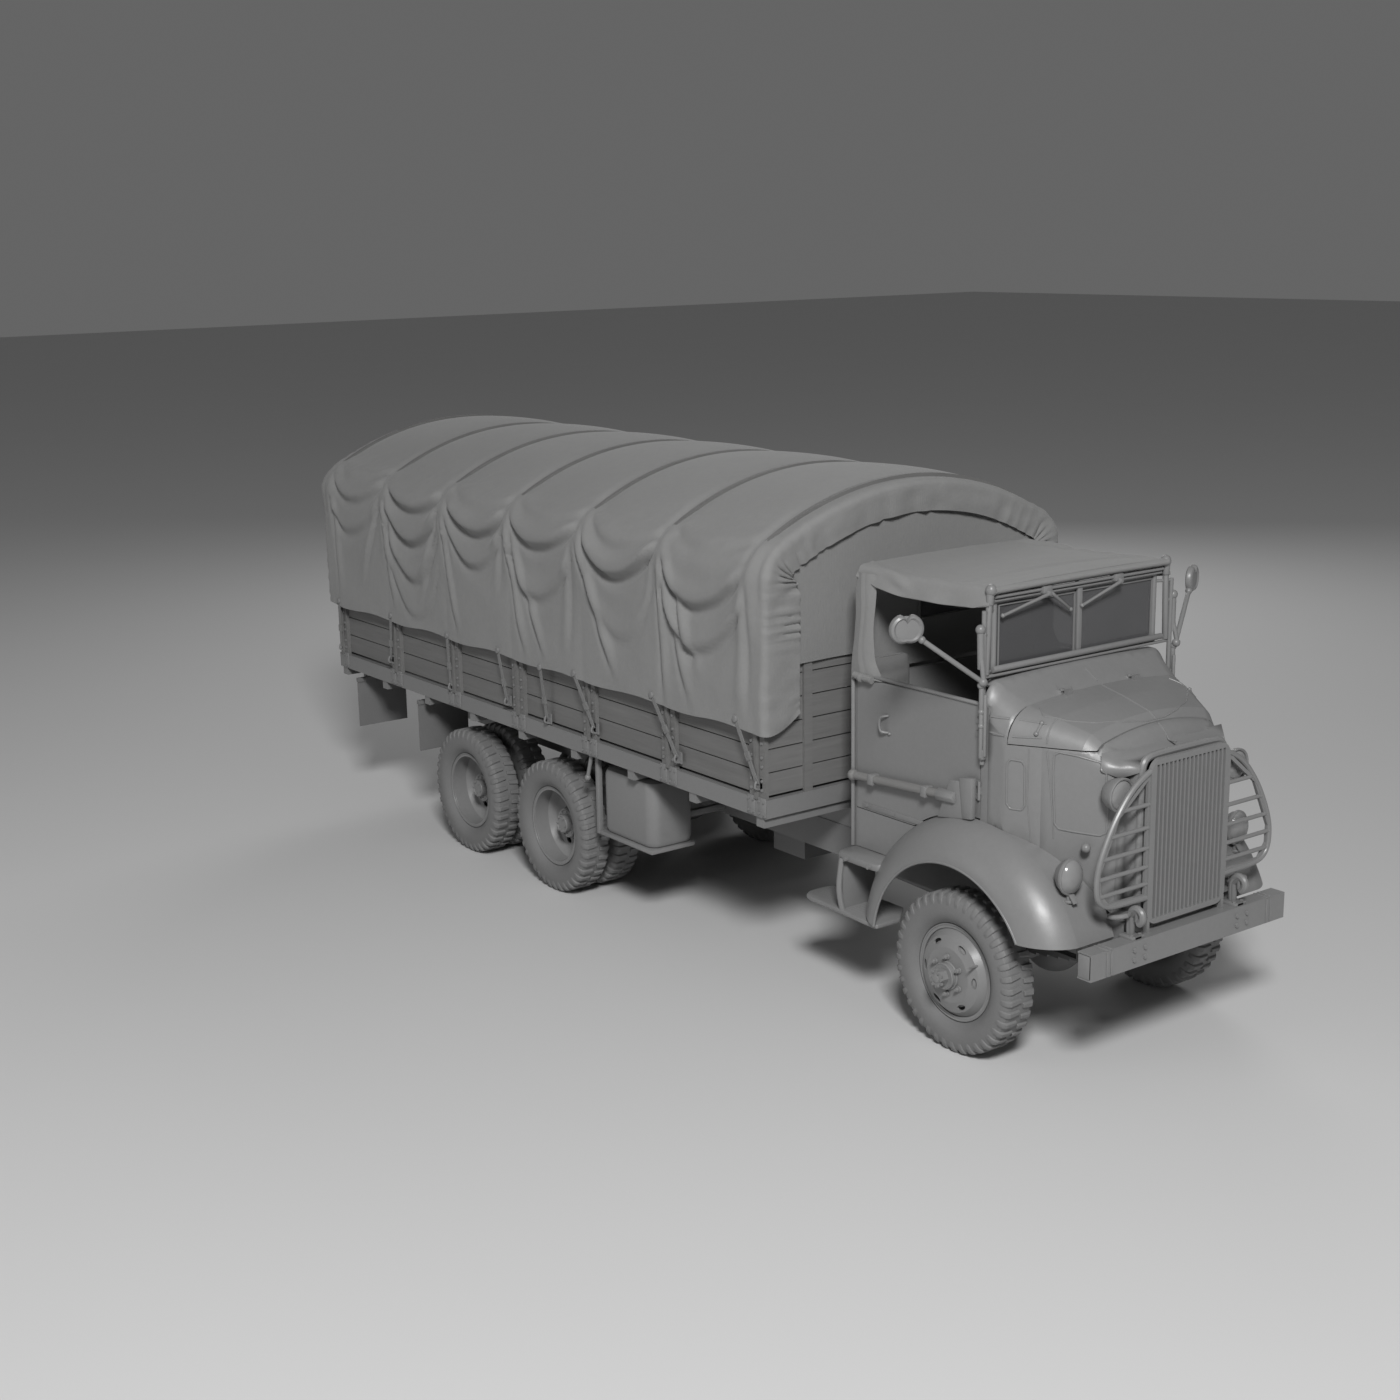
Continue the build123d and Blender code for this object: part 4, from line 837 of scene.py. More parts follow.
class TRUCK_OT_cover(bpy.types.Operator):
    """Cargo cover: one sheet over seven bows, with swags, pleats and gathered end bands"""

    bl_idname = "truck.cover"
    bl_label = "Cargo cover"

    def execute(self, context):
        sizes = context.scene.truck_canvas
        front, rear = COVER_FRONT, COVER_REAR
        turn_steps, band_steps = 4, 7
        round_front = [(front, 1, pi / 2 * n / turn_steps, 0.0) for n in range(1, turn_steps + 1)]
        round_front += [(front, 1, pi / 2, n / band_steps) for n in range(1, band_steps + 1)]
        steps = ceil((front - rear) / sizes.spacing)
        along = [(front + (rear - front) * n / steps, 0, 0.0, 0.0) for n in range(steps + 1)]
        stations = round_front[::-1] + along + [(rear, -1, turn, share) for _, _, turn, share in round_front]
        ts = cover_ts(sizes.spacing)
        rows = [[cover_point(*station, t, sizes) for t in ts] for station in stations]
        flat = (front - rear + 2 * (COVER_LIP * 1.6 + 0.19), 2 * ARCH_HALF)
        cover = finished("cargo_cover", [sheet_from_grid("cargo_cover", rows, 0.004, flat)], "canvas",
                         smooth=75)
        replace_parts(cover, "canvas_cover")
        return {"FINISHED"}


class TRUCK_OT_cover_seams(bpy.types.Operator):
    """Sewn tapes over the bows and along the walls of the cover"""

    bl_idname = "truck.cover_seams"
    bl_label = "Cover seams"

    def execute(self, context):
        sizes = context.scene.truck_canvas
        tapes = []
        half_width, lift = 0.009, 0.0012

        def tape_point(x, t):
            y, z, ny, nz = arch(t)
            out = cover_height(x, t, sizes) + lift
            return x, y + ny * out, z + nz * out

        ts = cover_ts(sizes.spacing)
        for bow in range(1, BOW_COUNT - 1):
            x = BOW_FRONT - BOW_PITCH * bow + 0.022
            spans = [t for t in ts if abs(t) < KNOT + 0.1]
            rows = [[tape_point(x + s * half_width, t) for t in spans] for s in (1, -1)]
            tapes.append(sheet_from_grid("tape", rows, 0.0, (0.02, 2.3)))
        steps = ceil((COVER_FRONT - COVER_REAR) / sizes.spacing)
        xs = [COVER_FRONT + (COVER_REAR - COVER_FRONT) * n / steps for n in range(steps + 1)]
        for side in (1, -1):
            t = side * (ARCH_HALF - WALL_TAPE_RISE)
            rows = [[tape_point(x, t + s * 0.006) for s in (-1, 1)] for x in xs]
            tapes.append(sheet_from_grid("tape", rows, 0.0, (5.4, 0.012)))
        finished("cover_seams", tapes, "webbing", smooth=75)
        return {"FINISHED"}


class TRUCK_OT_end_curtains(bpy.types.Operator):
    """Flat curtain behind the cab, and the rear curtain rolled up under the last bow"""

    bl_idname = "truck.end_curtains"
    bl_label = "End curtains"

    def execute(self, context):
        x, foot, inset = place(-1.228), 1.93, 0.045
        rows = []
        high_steps, wide_steps = 26, 60
        for r in range(high_steps + 1):
            row = []
            for c in range(wide_steps + 1):
                t = (2 * c / wide_steps - 1) * (SHOULDER_HALF + 0.3)
                y, z, ny, nz = arch(t)
                y, z = y - ny * inset, z - nz * inset
                z = foot + (max(z, foot) - foot) * r / high_steps
                wave = 0.006 * sin(y * 9.0 + z * 2.0) * (1 - r / high_steps)
                wave += 0.006 * noise.noise(Vector((y * 3, z * 3, 4)))
                row.append((x + wave, y, z))
            rows.append(row)
        flat = (2.19, 0.92)
        front = finished("front_curtain", [sheet_from_grid("front_curtain", rows[::-1], 0.003, flat)],
                         "canvas",
                         smooth=60)
        roll_x, roll_z, roll_radius, half = place(-6.545), 2.60, 0.058, 0.80
        rows = []
        turns, along_steps = 15, 40
        for n in range(along_steps + 1):
            y = -half + 2 * half * n / along_steps
            pinch = 1 - 0.22 * sum(bell(y - s, 0.03) for s in (-0.5, 0.0, 0.5))
            row = []
            for k in range(turns * 2 + 1):
                angle = 2 * pi * k / turns
                uneven = 1 + 0.05 * noise.noise(Vector((y * 4, angle, 1)))
                r = roll_radius * pinch * (1 - 0.16 * k / turns) * uneven
                row.append((roll_x + r * cos(angle), y,
                            roll_z + r * sin(angle) + 0.10 * (1 - (y / half) ** 2)))
            rows.append(row)
        roll = sheet_from_grid("rear_curtain", rows, 0.003, (1.6, 0.7))
        ties = []
        for y in (-0.5, 0.0, 0.5):
            z = roll_z + 0.10 * (1 - (y / half) ** 2)
            ring = [(roll_x + 0.052 * cos(a * pi / 6), y, z + 0.052 * sin(a * pi / 6)) for a in range(13)]
            ties.append(tube([(roll_x + 0.02, y, arch_height(y) - 0.04), *ring], 0.007))
        rolled = finished("rear_curtain_roll", [roll], "canvas", smooth=60)
        finished("rear_curtain_ties", ties, "webbing")
        return {"FINISHED"}


def arch_height(y):
    """Height of the cover's crown over a point y from the middle."""
    return PEAK_Z - CROWN_RADIUS + sqrt(CROWN_RADIUS ** 2 - y ** 2)


# Straps of the right wall: grommet at the hem to a hook on the rack
STRAPS = (
    # grommet x and z, hook x and z, measured forward from the front axle
    (-6.414, 1.559, -6.475, 1.230), (-5.590, 1.565, -5.667, 1.264), (-4.764, 1.546, -4.780, 1.216),
    (-4.059, 1.554, -4.018, 1.248), (-3.520, 1.530, -3.516, 1.218), (-3.114, 1.561, -2.959, 1.260),
    (-2.269, 1.572, -2.066, 1.256), (-1.444, 1.584, -1.290, 1.261),
)


# Bent rod of a strap's hook: y outward and z from its foot
HOOK = ((-0.016, -0.035), (0.016, -0.03), (0.018, 0.0), (0.006, 0.016))


class TRUCK_OT_cover_straps(bpy.types.Operator):
    """Straps that pull the hem down to hooks on the racks, with their grommets"""

    bl_idname = "truck.cover_straps"
    bl_label = "Cover straps"

    def execute(self, context):
        sizes = context.scene.truck_canvas
        webbing, metal = [], []
        for side in SIDES.values():
            for x1, z1, x2, z2 in STRAPS:
                hem_t = ARCH_HALF - (z1 + 0.045 - HEM_Z)
                y1 = side * (WALL_Y + max(cover_height(place(x1), side * hem_t, sizes), 0) + 0.006)
                y2 = side * (BODY_HIGH.y + 0.016)
                top, foot = Vector((place(x1), y1, z1 + 0.035)), Vector((place(x2), y2, z2))
                webbing.append(strap(top, foot, 0.028, 0.006, (0, side, 0)))
                along = (foot - top).normalized()
                webbing.append(strap(top + along * 0.20, top + along * 0.25, 0.036, 0.014, (0, side, 0)))
                inner, outer = top - Vector((0, side * 0.008, 0)), top + Vector((0, side * 0.010, 0))
                metal.append(rod(inner, outer, 0.021, 16, 0.003))
                metal.append(strap(foot + Vector((0, -side * 0.02, 0.03)),
                                   foot + Vector((0, -side * 0.02, -0.04)),
                                   0.05, 0.008, (0, side, 0)))
                metal.append(tube([foot + Vector((0, side * y, z)) for y, z in HOOK], 0.007))
        finished("cover_straps", webbing, "webbing")
        finished("strap_hooks", metal, "paint")
        return {"FINISHED"}


# Tyres


def tyre_shell(width, radius, depth):
    """Half profile mirrored: bead, sidewall and tread base under the lugs."""
    half = width / 2
    base = radius - depth
    outline = [(0.057, 0.2700), (0.060, 0.2745), (0.066, 0.2735), (0.073, 0.280), (0.086, 0.294),
               (half * 0.955, 0.315),
               (half * 0.995, 0.338), (half, 0.356), (half * 0.985, 0.376), (half * 0.945, 0.396),
               (half * 0.90, 0.412),
               (half * 0.84, base - 0.008), (half * 0.70, base), (half * 0.30, base + 0.0015)]
    inner = [(-0.055, 0.258), (0.055, 0.258)]
    return [*inner, *outline, *[(-a, r) for a, r in outline[::-1]], inner[0]]


def tread_lug(width, radius, depth):
    """One shoulder lug: a bar from the middle of the tread over the shoulder, set a little askew."""
    half = width / 2
    ridge = [  # across, radius, half length along the tread
        (half * 0.10, radius, 0.013), (half * 0.45, radius, 0.015), (half * 0.74, radius - 0.002, 0.017),
        (half * 0.90, radius - 0.016, 0.0175), (half * 0.985, radius - 0.040, 0.015),
        (half * 0.99, radius - 0.062, 0.010)]
    top, bottom = [], []
    for across, r, reach in ridge:
        skew = 0.010 * across / half
        for end in (-1, 1):
            top.append((skew + end * reach * 0.86, across, r))
            bottom.append((skew + end * (reach + 0.004), across - 0.006 * (across > half * 0.8),
                           r - depth - 0.006))
    mesh = bpy.data.meshes.new("lug")
    count = len(ridge)
    faces = []
    for i in range(count - 1):
        a, b, c, d = 2 * i, 2 * i + 1, 2 * i + 3, 2 * i + 2
        n = 2 * count
        faces += [(a, b, c, d), (a + n, a, d, d + n), (b, b + n, c + n, c)]
    n, last = 2 * count, 2 * count - 2
    faces += [(1, 0, n, n + 1), (last, last + 1, last + 1 + n, last + n)]
    mesh.from_pydata(top + bottom, [], faces)
    return rounded(linked("lug", mesh), 0.0025, 1)


class TRUCK_OT_tyres(bpy.types.Operator):
    """Ten tyres with alternating shoulder lugs, each with its own mesh"""

    bl_idname = "truck.tyres"
    bl_label = "Tyres"

    def execute(self, context):
        sizes = context.scene.truck_tyres
        shell = turned(tyre_shell(TYRE_WIDTH, TYRE_RADIUS, sizes.lug_depth), (0, 0, 0), steps=96)
        lug = tread_lug(TYRE_WIDTH, TYRE_RADIUS, sizes.lug_depth)
        turns = []
        for side in (1, -1):
            for index in range(sizes.lugs):
                angle = 2 * pi * (index + (0 if side > 0 else 0.5)) / sizes.lugs
                turns.append(Matrix.Rotation(angle, 4, "Y") @ Matrix.Diagonal((1, side, 1, 1)))
        pattern = joined([shell, copies(lug, turns)])
        for node in [n for n in NODES if "tyre" in n]:
            low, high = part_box(node)
            ys = [low.y + TYRE_WIDTH / 2, high.y - TYRE_WIDTH / 2]
            ys = ys if node.startswith("twin") else ys[:1]
            piece = pattern.copy()
            piece.data = pattern.data.copy()
            context.scene.collection.objects.link(piece)
            centre = Vector(((low.x + high.x) / 2, 0, (low.z + high.z) / 2))
            copies(piece, [Matrix.Translation((centre.x, y, centre.z)) for y in ys])
            body = NODES[node]["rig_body"]
            name = node.replace("tyres", "treads").replace("tyre_", "tread_")
            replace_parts(finished(name, [piece], "rubber", body, 30), node)
        bpy.data.objects.remove(pattern)
        return {"FINISHED"}


# The cab's soft top

ROOF_HALF = 0.640
ROOF_EDGE = (
    # share of the way back, height of the roof, lowest point of its drape
    (0.00, 2.512, 2.424), (0.12, 2.509, 2.398), (0.37, 2.498, 2.384), (0.62, 2.494, 2.381),
    (0.82, 2.497, 2.402),
    (1.00, 2.503, 2.444),
)
ROOF_FRONT, ROOF_REAR, BELT_Z = 0.078, -0.950, 1.885


def at(x, y, z):
    """Row point of a place whose x is measured forward from the front axle."""
    return Vector((place(x), y, z))


def from_table(table, share):
    """Row of a table at a share between its rows."""
    for low, high in zip(table, table[1:]):
        if share <= high[0]:
            part = soft_step(share, low[0], high[0])
            return [a + (b - a) * part for a, b in zip(low[1:], high[1:])]
    return list(table[-1][1:])


def roof_point(share, run):
    """Point of the roof sheet, run metres across it from its middle: flat top, soft edge, side drape."""
    side, run = (1 if run >= 0 else -1), abs(run)
    height, foot = from_table(ROOF_EDGE, share)
    x = ROOF_FRONT + (ROOF_REAR - ROOF_FRONT) * share
    corner = 0.045
    past = run - ROOF_HALF
    if past < 0:
        across = (run / ROOF_HALF) ** 2
        y, z = run, height + 0.010 * (1 - across) - 0.012 * sin(pi * share) * across
    elif past < corner:
        angle = past / corner * pi / 2
        y, z = ROOF_HALF + 0.030 * sin(angle), height - 0.030 * (1 - cos(angle))
    else:
        down = (past - corner) / 0.085
        y = ROOF_HALF + 0.030 + 0.024 * down + 0.007 * sin(share * 19.0) * down
        z = height - 0.030 - (height - 0.030 - foot) * down
    # A ridge from the rear corner runs forward down the drape, with a hollow above it
    line = past + 0.05 - (0.97 - share) * 0.34
    reach = soft_step(share, 0.52, 0.70) * (1 - soft_step(share, 0.985, 1.0))
    fold = reach * (0.022 * bell(line, 0.026) - 0.016 * bell(line + 0.055, 0.030))
    strip = soft_step(share, 0.125, 0.145) * (1 - soft_step(share, 0.290, 0.305))
    strip *= 1 - soft_step(past, -0.04, 0.0)
    ripple = 0.003 * noise.noise(Vector((x * 7.0, run * 7.0, 2.0)))
    z += fold * (0.5 if past < corner else 0.15) - 0.010 * strip + ripple
    y += fold * (0.2 if past < corner else 0.9)
    return place(x), side * y, z


class TRUCK_OT_cab_top(bpy.types.Operator):
    """Soft cab top: roof sheet with side drapes, rear curtain with its pane, and tapered quarter strips"""

    bl_idname = "truck.cab_top"
    bl_label = "Cab top"

    def execute(self, context):
        half = ROOF_HALF + 0.045 + 0.085
        runs = [-half + 2 * half * n / 84 for n in range(85)]
        shares = [n / 60 for n in range(61)]
        rows = [[roof_point(share, run) for run in runs] for share in shares]
        flat = (ROOF_FRONT - ROOF_REAR + 0.03, 2 * half + 0.02)
        roof = finished("cab_roof", [sheet_from_grid("cab_roof", rows, 0.005, flat)], "canvas",
                        smooth=70)
        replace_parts(roof, "cab_top")

        rows = []
        for r in range(33):
            down, row = r / 32, []
            for c in range(57):
                across = 2 * c / 56 - 1
                pull = 0.010 * sin(pi * down) * cos(across * 7.0)
                pull += 0.006 * noise.noise(Vector((across * 4, down * 3, 6)))
                row.append(at(ROOF_REAR - 0.022 * down - 0.014 * sin(pi * down) + pull * 0.7,
                              across * (0.665 + 0.030 * down), 2.492 - (2.492 - BELT_Z) * down))
            rows.append(row)
        flat = (0.615, 1.39)
        curtain = finished("cab_rear_curtain", [sheet_from_grid("cab_rear_curtain", rows, 0.004, flat)],
                           "canvas",
                           smooth=70)

        strips = []
        for side in SIDES.values():
            rows = []
            for r in range(31):
                down = r / 30
                front = -0.800 + 0.020 * down - 0.012 * sin(pi * down) + 0.055 * soft_step(down, 0.80, 1.0)
                row = []
                for c in range(13):
                    share = c / 12
                    x = ROOF_REAR - 0.022 * down + (front - ROOF_REAR + 0.022 * down) * share
                    seam = 0.006 * bell(share - 0.42, 0.05) - 0.005 * bell(share - 0.52, 0.05)
                    y = 0.676 + 0.026 * down + 0.016 * sin(pi * share) + seam
                    y += 0.006 * sin(down * 9.0 + share * 3.0)
                    row.append(at(x, side * y, 2.470 - (2.470 - BELT_Z) * down))
                rows.append(row if side > 0 else row[::-1])
            strips.append(rows)
        for side_name, rows in zip(SIDES, strips):
            name = f"cab_quarter_{side_name}"
            flat = (0.60, 0.20)
            strip = finished(name, [sheet_from_grid(name, rows, 0.004, flat)], "canvas",
                             smooth=70)

        header = [at(ROOF_FRONT + 0.004, y, 2.500 + 0.004 * cos(y * 3)) for y in (-0.66, -0.3, 0, 0.3, 0.66)]
        sewn = [tube(header, 0.019)]
        for side in SIDES.values():
            sewn.append(tube([Vector(roof_point(n / 12, side * (half - 0.002))) for n in range(13)], 0.0045))
            knot = at(-0.845, side * 0.722, BELT_Z + 0.006)
            roll = [knot - Vector((0.085, 0, -0.004)), knot - Vector((0.03, 0, 0)), knot]
            sewn.append(tube([*roll, knot + Vector((0.06, 0, -0.003))], 0.021))
            sewn.append(ball(knot + Vector((-0.03, side * 0.004, -0.004)), 0.026, (1, 0.8, 1)))
        pane = [at(ROOF_REAR - 0.020, y, z)
                for y, z in ((-0.20, 2.14), (0.20, 2.14), (0.20, 2.30), (-0.20, 2.30), (-0.20, 2.14))]
        sewn.append(tube(pane, 0.006, curved=False))
        finished("cab_top_rolls", sewn, "canvas", smooth=60)
        low, high = at(ROOF_REAR - 0.042, -0.19, 2.15), at(ROOF_REAR - 0.006, 0.19, 2.29)
        finished("cab_rear_pane", [bar(low, high, 0.006)], "glass")
        return {"FINISHED"}


# Windscreen and mirrors

WIPERS = (
    # pivot y and z, tip y and z
    (-0.279, 2.440, -0.584, 2.359), (-0.262, 2.440, -0.083, 2.328), (0.268, 2.440, 0.005, 2.337),
)


CROSS_RAILS = (
    # x, half length, z, radius, sides, edge
    (0.066, 0.655, 2.497, 0.019, 16, 0.004), (0.070, 0.640, 2.462, 0.010, 10, 0.0),
    (0.060, 0.640, 2.440, 0.008, 10, 0.0), (0.068, 0.650, 2.083, 0.017, 14, 0.003),
    (0.062, 0.700, 2.050, 0.009, 10, 0.0),
)
POST_RODS = (
    # one end's x, y and z, the other's, radius, sides, edge
    (0.066, 0.672, 2.500, 0.064, 0.674, 2.425, 0.021, 14, 0.003),
    (0.062, 0.676, 2.425, 0.062, 0.690, 2.060, 0.017, 14, 0.003),
    (0.066, 0.738, 2.305, 0.070, 0.735, 2.10, 0.019, 14, 0.0),
    (0.064, 0.738, 2.290, 0.064, 0.684, 2.272, 0.011, 10, 0.0),
    (0.080, 0.738, 2.02, 0.080, 0.738, 1.885, 0.014, 12, 0.002),
    (0.080, 0.738, 1.868, 0.080, 0.738, 1.630, 0.0125, 12, 0.002),
    (0.098, 0.728, 1.968, 0.098, 0.728, 1.640, 0.010, 10, 0.002),
)
POST_KNOBS = (
    # x, y, z, radius
    (0.066, 0.738, 2.305, 0.027), (0.096, 0.744, 2.036, 0.024), (0.080, 0.742, 2.016, 0.020),
    (0.080, 0.738, 1.876, 0.017), (0.080, 0.738, 1.80, 0.0165),
)


class TRUCK_OT_windscreen(bpy.types.Operator):
    """Header, rails, wipers with their motors, and the clamps on the windscreen posts"""

    bl_idname = "truck.windscreen"
    bl_label = "Windscreen"

    def execute(self, context):
        parts = [rod(at(x, -half, z), at(x, half, z), *shape) for x, half, z, *shape in CROSS_RAILS]
        parts.append(bar(at(0.046, -0.017, 2.085), at(0.062, 0.017, 2.445), 0.003))
        for y in (-0.279, 0.268):
            parts += [bar(at(0.050, y - 0.034, 2.438), at(0.096, y + 0.034, 2.480), 0.008),
                      rod(at(0.050, y, 2.450), at(0.112, y, 2.440), 0.014, 14, 0.003)]
        for y1, z1, y2, z2 in WIPERS:
            pivot, tip = at(0.104, y1, z1), at(0.070, y2, z2)
            parts += [rod(pivot, tip, 0.0105, 10, 0.002, 0.006), ball(tip, 0.012),
                      strap(tip + (tip - pivot).normalized() * -0.11, tip, 0.014, 0.010, (1, 0, 0), 0.002)]
        for side in SIDES.values():
            parts.append(ball(at(0.066, side * 0.668, 2.500), 0.034, (0.9, 0.9, 1)))
            parts += [rod(at(x1, side * y1, z1), at(x2, side * y2, z2), *shape)
                      for x1, y1, z1, x2, y2, z2, *shape in POST_RODS]
            parts += [ball(at(x, side * y, z), radius) for x, y, z, radius in POST_KNOBS]
            elbow = [at(0.070, side * 0.735, 2.16), at(0.086, side * 0.742, 2.12),
                     at(0.098, side * 0.745, 2.05)]
            low, high = sorted((side * 0.716, side * 0.742))
            parts += [tube(elbow, 0.013), bar(at(0.064, low, 1.622), at(0.098, high, 1.676), 0.003)]
        finished("windscreen_fittings", parts, "paint")
        gaskets = []
        for side in SIDES.values():
            y0, y1 = sorted((side * 0.024, side * 0.586))
            ring = [at(0.041, y, z) for y, z in ((y0, 2.079), (y1, 2.079), (y1, 2.408), (y0, 2.408),
                                                 (y0, 2.079))]
            gaskets.append(tube(ring, 0.006, curved=False))
        finished("windscreen_gaskets", gaskets, "rubber")
        return {"FINISHED"}


def mirror_head():
    """Two-lobed back of a mirror, facing +X at the origin."""
    outline = []
    for n in range(48):
        angle = 2 * pi * n / 48
        reach = 0.076 + 0.016 * abs(cos(angle)) - 0.030 * bell(angle - pi / 2, 0.22)
        reach -= 0.006 * bell(angle - 3 * pi / 2, 0.5)
        outline.append((reach * cos(angle), reach * sin(angle)))
    rings = [(-0.016, 0.90), (-0.010, 1.0), (0.004, 1.0), (0.016, 0.93), (0.022, 0.80), (0.014, 0.68),
             (0.017, 0.35)]
    points = [(x, y * k, z * k) for x, k in rings for y, z in outline]
    faces = [(r * 48 + n, r * 48 + (n + 1) % 48, (r + 1) * 48 + (n + 1) % 48, (r + 1) * 48 + n)
             for r in range(len(rings) - 1) for n in range(48)]
    faces += [tuple(range(47, -1, -1)), tuple((len(rings) - 1) * 48 + n for n in range(48))]
    return from_faces("mirror_head", points, faces)


def from_faces(name, points, faces):
    """Closed piece from points and faces, with its faces turned outward."""
    mesh = bpy.data.meshes.new(name)
    mesh.from_pydata([tuple(p) for p in points], [], faces)
    return faces_out(linked(name, mesh))


class TRUCK_OT_mirrors(bpy.types.Operator):
    """Mirrors on long arms from the windscreen posts"""

    bl_idname = "truck.mirrors"
    bl_label = "Mirrors"

    def execute(self, context):
        parts = []
        for side in SIDES.values():
            foot, head = at(0.092, side * 0.744, 2.036), at(-0.100, side * 1.095, 2.330)
            end = foot.lerp(head, 0.80)
            parts += [rod(foot, end, 0.0135, 14, 0.002), ball(end, 0.020),
                      rod(end, head - Vector((0, side * 0.03, 0.02)), 0.012, 12)]
            turn = Matrix.Translation(head) @ Matrix.Rotation(side * radians(24.6), 4, "Z")
            parts.append(copies(mirror_head(), [turn]))
            parts.append(rod(turn @ Vector((-0.018, 0, 0)), turn @ Vector((-0.014, 0, 0)), 0.066, 32, 0.002))
        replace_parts(finished("mirror_arms", parts, "paint"), "mirrors")
        return {"FINISHED"}


# Cab trim

SIDE_SEAMS = (
    # nodes that carry the seam, its bead's radius, points (x, z) along it
    (("cowl",), 0.005, ((0.120, 1.852), (0.200, 1.850))),
    (("cowl",), 0.005, ((0.128, 1.760), (0.200, 1.763))),
    (("bonnet_lid",), 0.005, ((0.222, 1.850), (0.365, 1.836))),
    (("bonnet_lid",), 0.005, ((0.222, 1.764), (0.372, 1.770))),
    (("bonnet_lid",), 0.0045, ((0.385, 1.860), (0.400, 1.745))),
    (("cowl",), 0.0060, ((0.055, 1.852), (0.200, 1.848))),
    (("cowl",), 0.0060, ((0.055, 1.768), (0.200, 1.764))),
    (("cowl",), 0.0035, ((0.321, 1.730), (0.318, 1.435), (0.337, 1.231), (0.340, 1.150))),
    (("cowl",), 0.006, ((0.222, 1.41), (0.222, 1.62), (0.236, 1.645), (0.290, 1.641), (0.304, 1.618),
                        (0.306, 1.405),
                        (0.292, 1.380), (0.238, 1.383), (0.222, 1.41))),
    (("cowl", "nose"), 0.0045, ((0.404, 1.705), (0.418, 1.583), (0.436, 1.400), (0.444, 1.250))),
    (("nose",), 0.006, ((0.448, 1.330), (0.434, 1.600), (0.438, 1.690), (0.460, 1.708), (0.550, 1.698),
                        (0.640, 1.672),
                        (0.672, 1.620), (0.684, 1.440), (0.680, 1.310), (0.655, 1.292), (0.540, 1.298),
                        (0.466, 1.304),
                        (0.448, 1.330))),
)
LID_SEAM = ((0.262, 0.500), (0.326, 0.538), (0.420, 0.470), (0.508, 0.350), (0.572, 0.200), (0.600, 0.070))


def bead(nodes, way, spots, radius):
    """Half-sunk bead along spots, laid on the nodes' surfaces."""
    return tube(laid(skins(*nodes), between(spots, 0.02), way), radius, 2)


class TRUCK_OT_cab_trim(bpy.types.Operator):
    """Seams, vent and access panels, catches and rails of the cab"""

    bl_idname = "truck.cab_trim"
    bl_label = "Cab trim"

    def execute(self, context):
        parts, seams = [], []
        for side in SIDES.values():
            way = (0, -side, 0)
            for nodes, radius, points in SIDE_SEAMS:
                seam = bead(nodes, way, [at(x, side * 0.6, z) for x, z in points], radius)
                (seams if "bonnet_lid" in nodes else parts).append(seam)
            catch = laid(skins("bonnet_lid"), [at(0.345, side * 0.6, 1.79), at(0.345, side * 0.6, 1.84)],
                         way, 0.006)
            seams += [rod(catch[0], catch[1], 0.008, 10), *(ball(point, 0.013) for point in catch)]
            stalk = laid(skins("nose"), [at(0.605, side * 0.48, 1.235)], way)[0]
            parts += [rod(stalk, stalk + Vector((0.02, side * 0.035, 0)), 0.010, 10),
                      ball(stalk + Vector((0.025, side * 0.044, 0)), 0.026)]
            parts.append(rod(at(-0.953, side * 0.712, 0.900), at(-0.953, side * 0.712, 1.885), 0.012, 12,
                             0.002))
            parts.append(rod(at(-0.953, side * 0.712, 1.885), at(-0.953, side * 0.660, 1.890), 0.012, 12,
                             0.002))
        parts.append(bead(("nose",), (0, 0, -1), [at(0.622, 0, 2), at(0.745, 0, 2)], 0.005))
        parts.append(bead(("cowl",), (0, 0, -1), [at(0.110, 0, 2), at(0.195, 0, 2)], 0.004))
        finished("cab_seams", parts, "paint")
        lid = [at(x, y, 2) for x, y in LID_SEAM]
        lid += [at(x, -y, 2) for x, y in LID_SEAM[::-1]]
        seams += [bead(("bonnet_lid",), (0, 0, -1), lid, 0.0045),
                  bead(("bonnet_lid",), (0, 0, -1), [at(0.225, 0, 2), at(0.600, 0, 2)], 0.0045)]
        finished("bonnet_seams", seams, "paint", "bonnet_lid")
        for side_name, side in SIDES.items():
            face = side * 0.700
            parts = [rod(at(-0.920, face, 1.903), at(0.030, face, 1.903), 0.011, 12, 0.002),
                     tube([at(-0.672, face, 1.706), at(-0.690, side * 0.728, 1.704),
                           at(-0.712, side * 0.732, 1.690),
                           at(-0.712, side * 0.732, 1.625), at(-0.690, side * 0.728, 1.612),
                           at(-0.672, face, 1.610)], 0.0075),
                     ball(at(-0.660, side * 0.703, 1.606), 0.010),
                     strap(at(-0.880, side * 0.702, 1.155), at(-0.020, side * 0.702, 1.155), 0.030, 0.006,
                           (0, side, 0), 0.002)]
            spots = [(at(x, side * 0.704, 1.155), (0, side, 0)) for x in (-0.84, -0.62, -0.40, -0.18)]
            parts.append(bolts(spots, 0.008, 0.006))
            finished(f"door_fittings_{side_name}", parts, "paint", f"door_{side_name}")
        return {"FINISHED"}


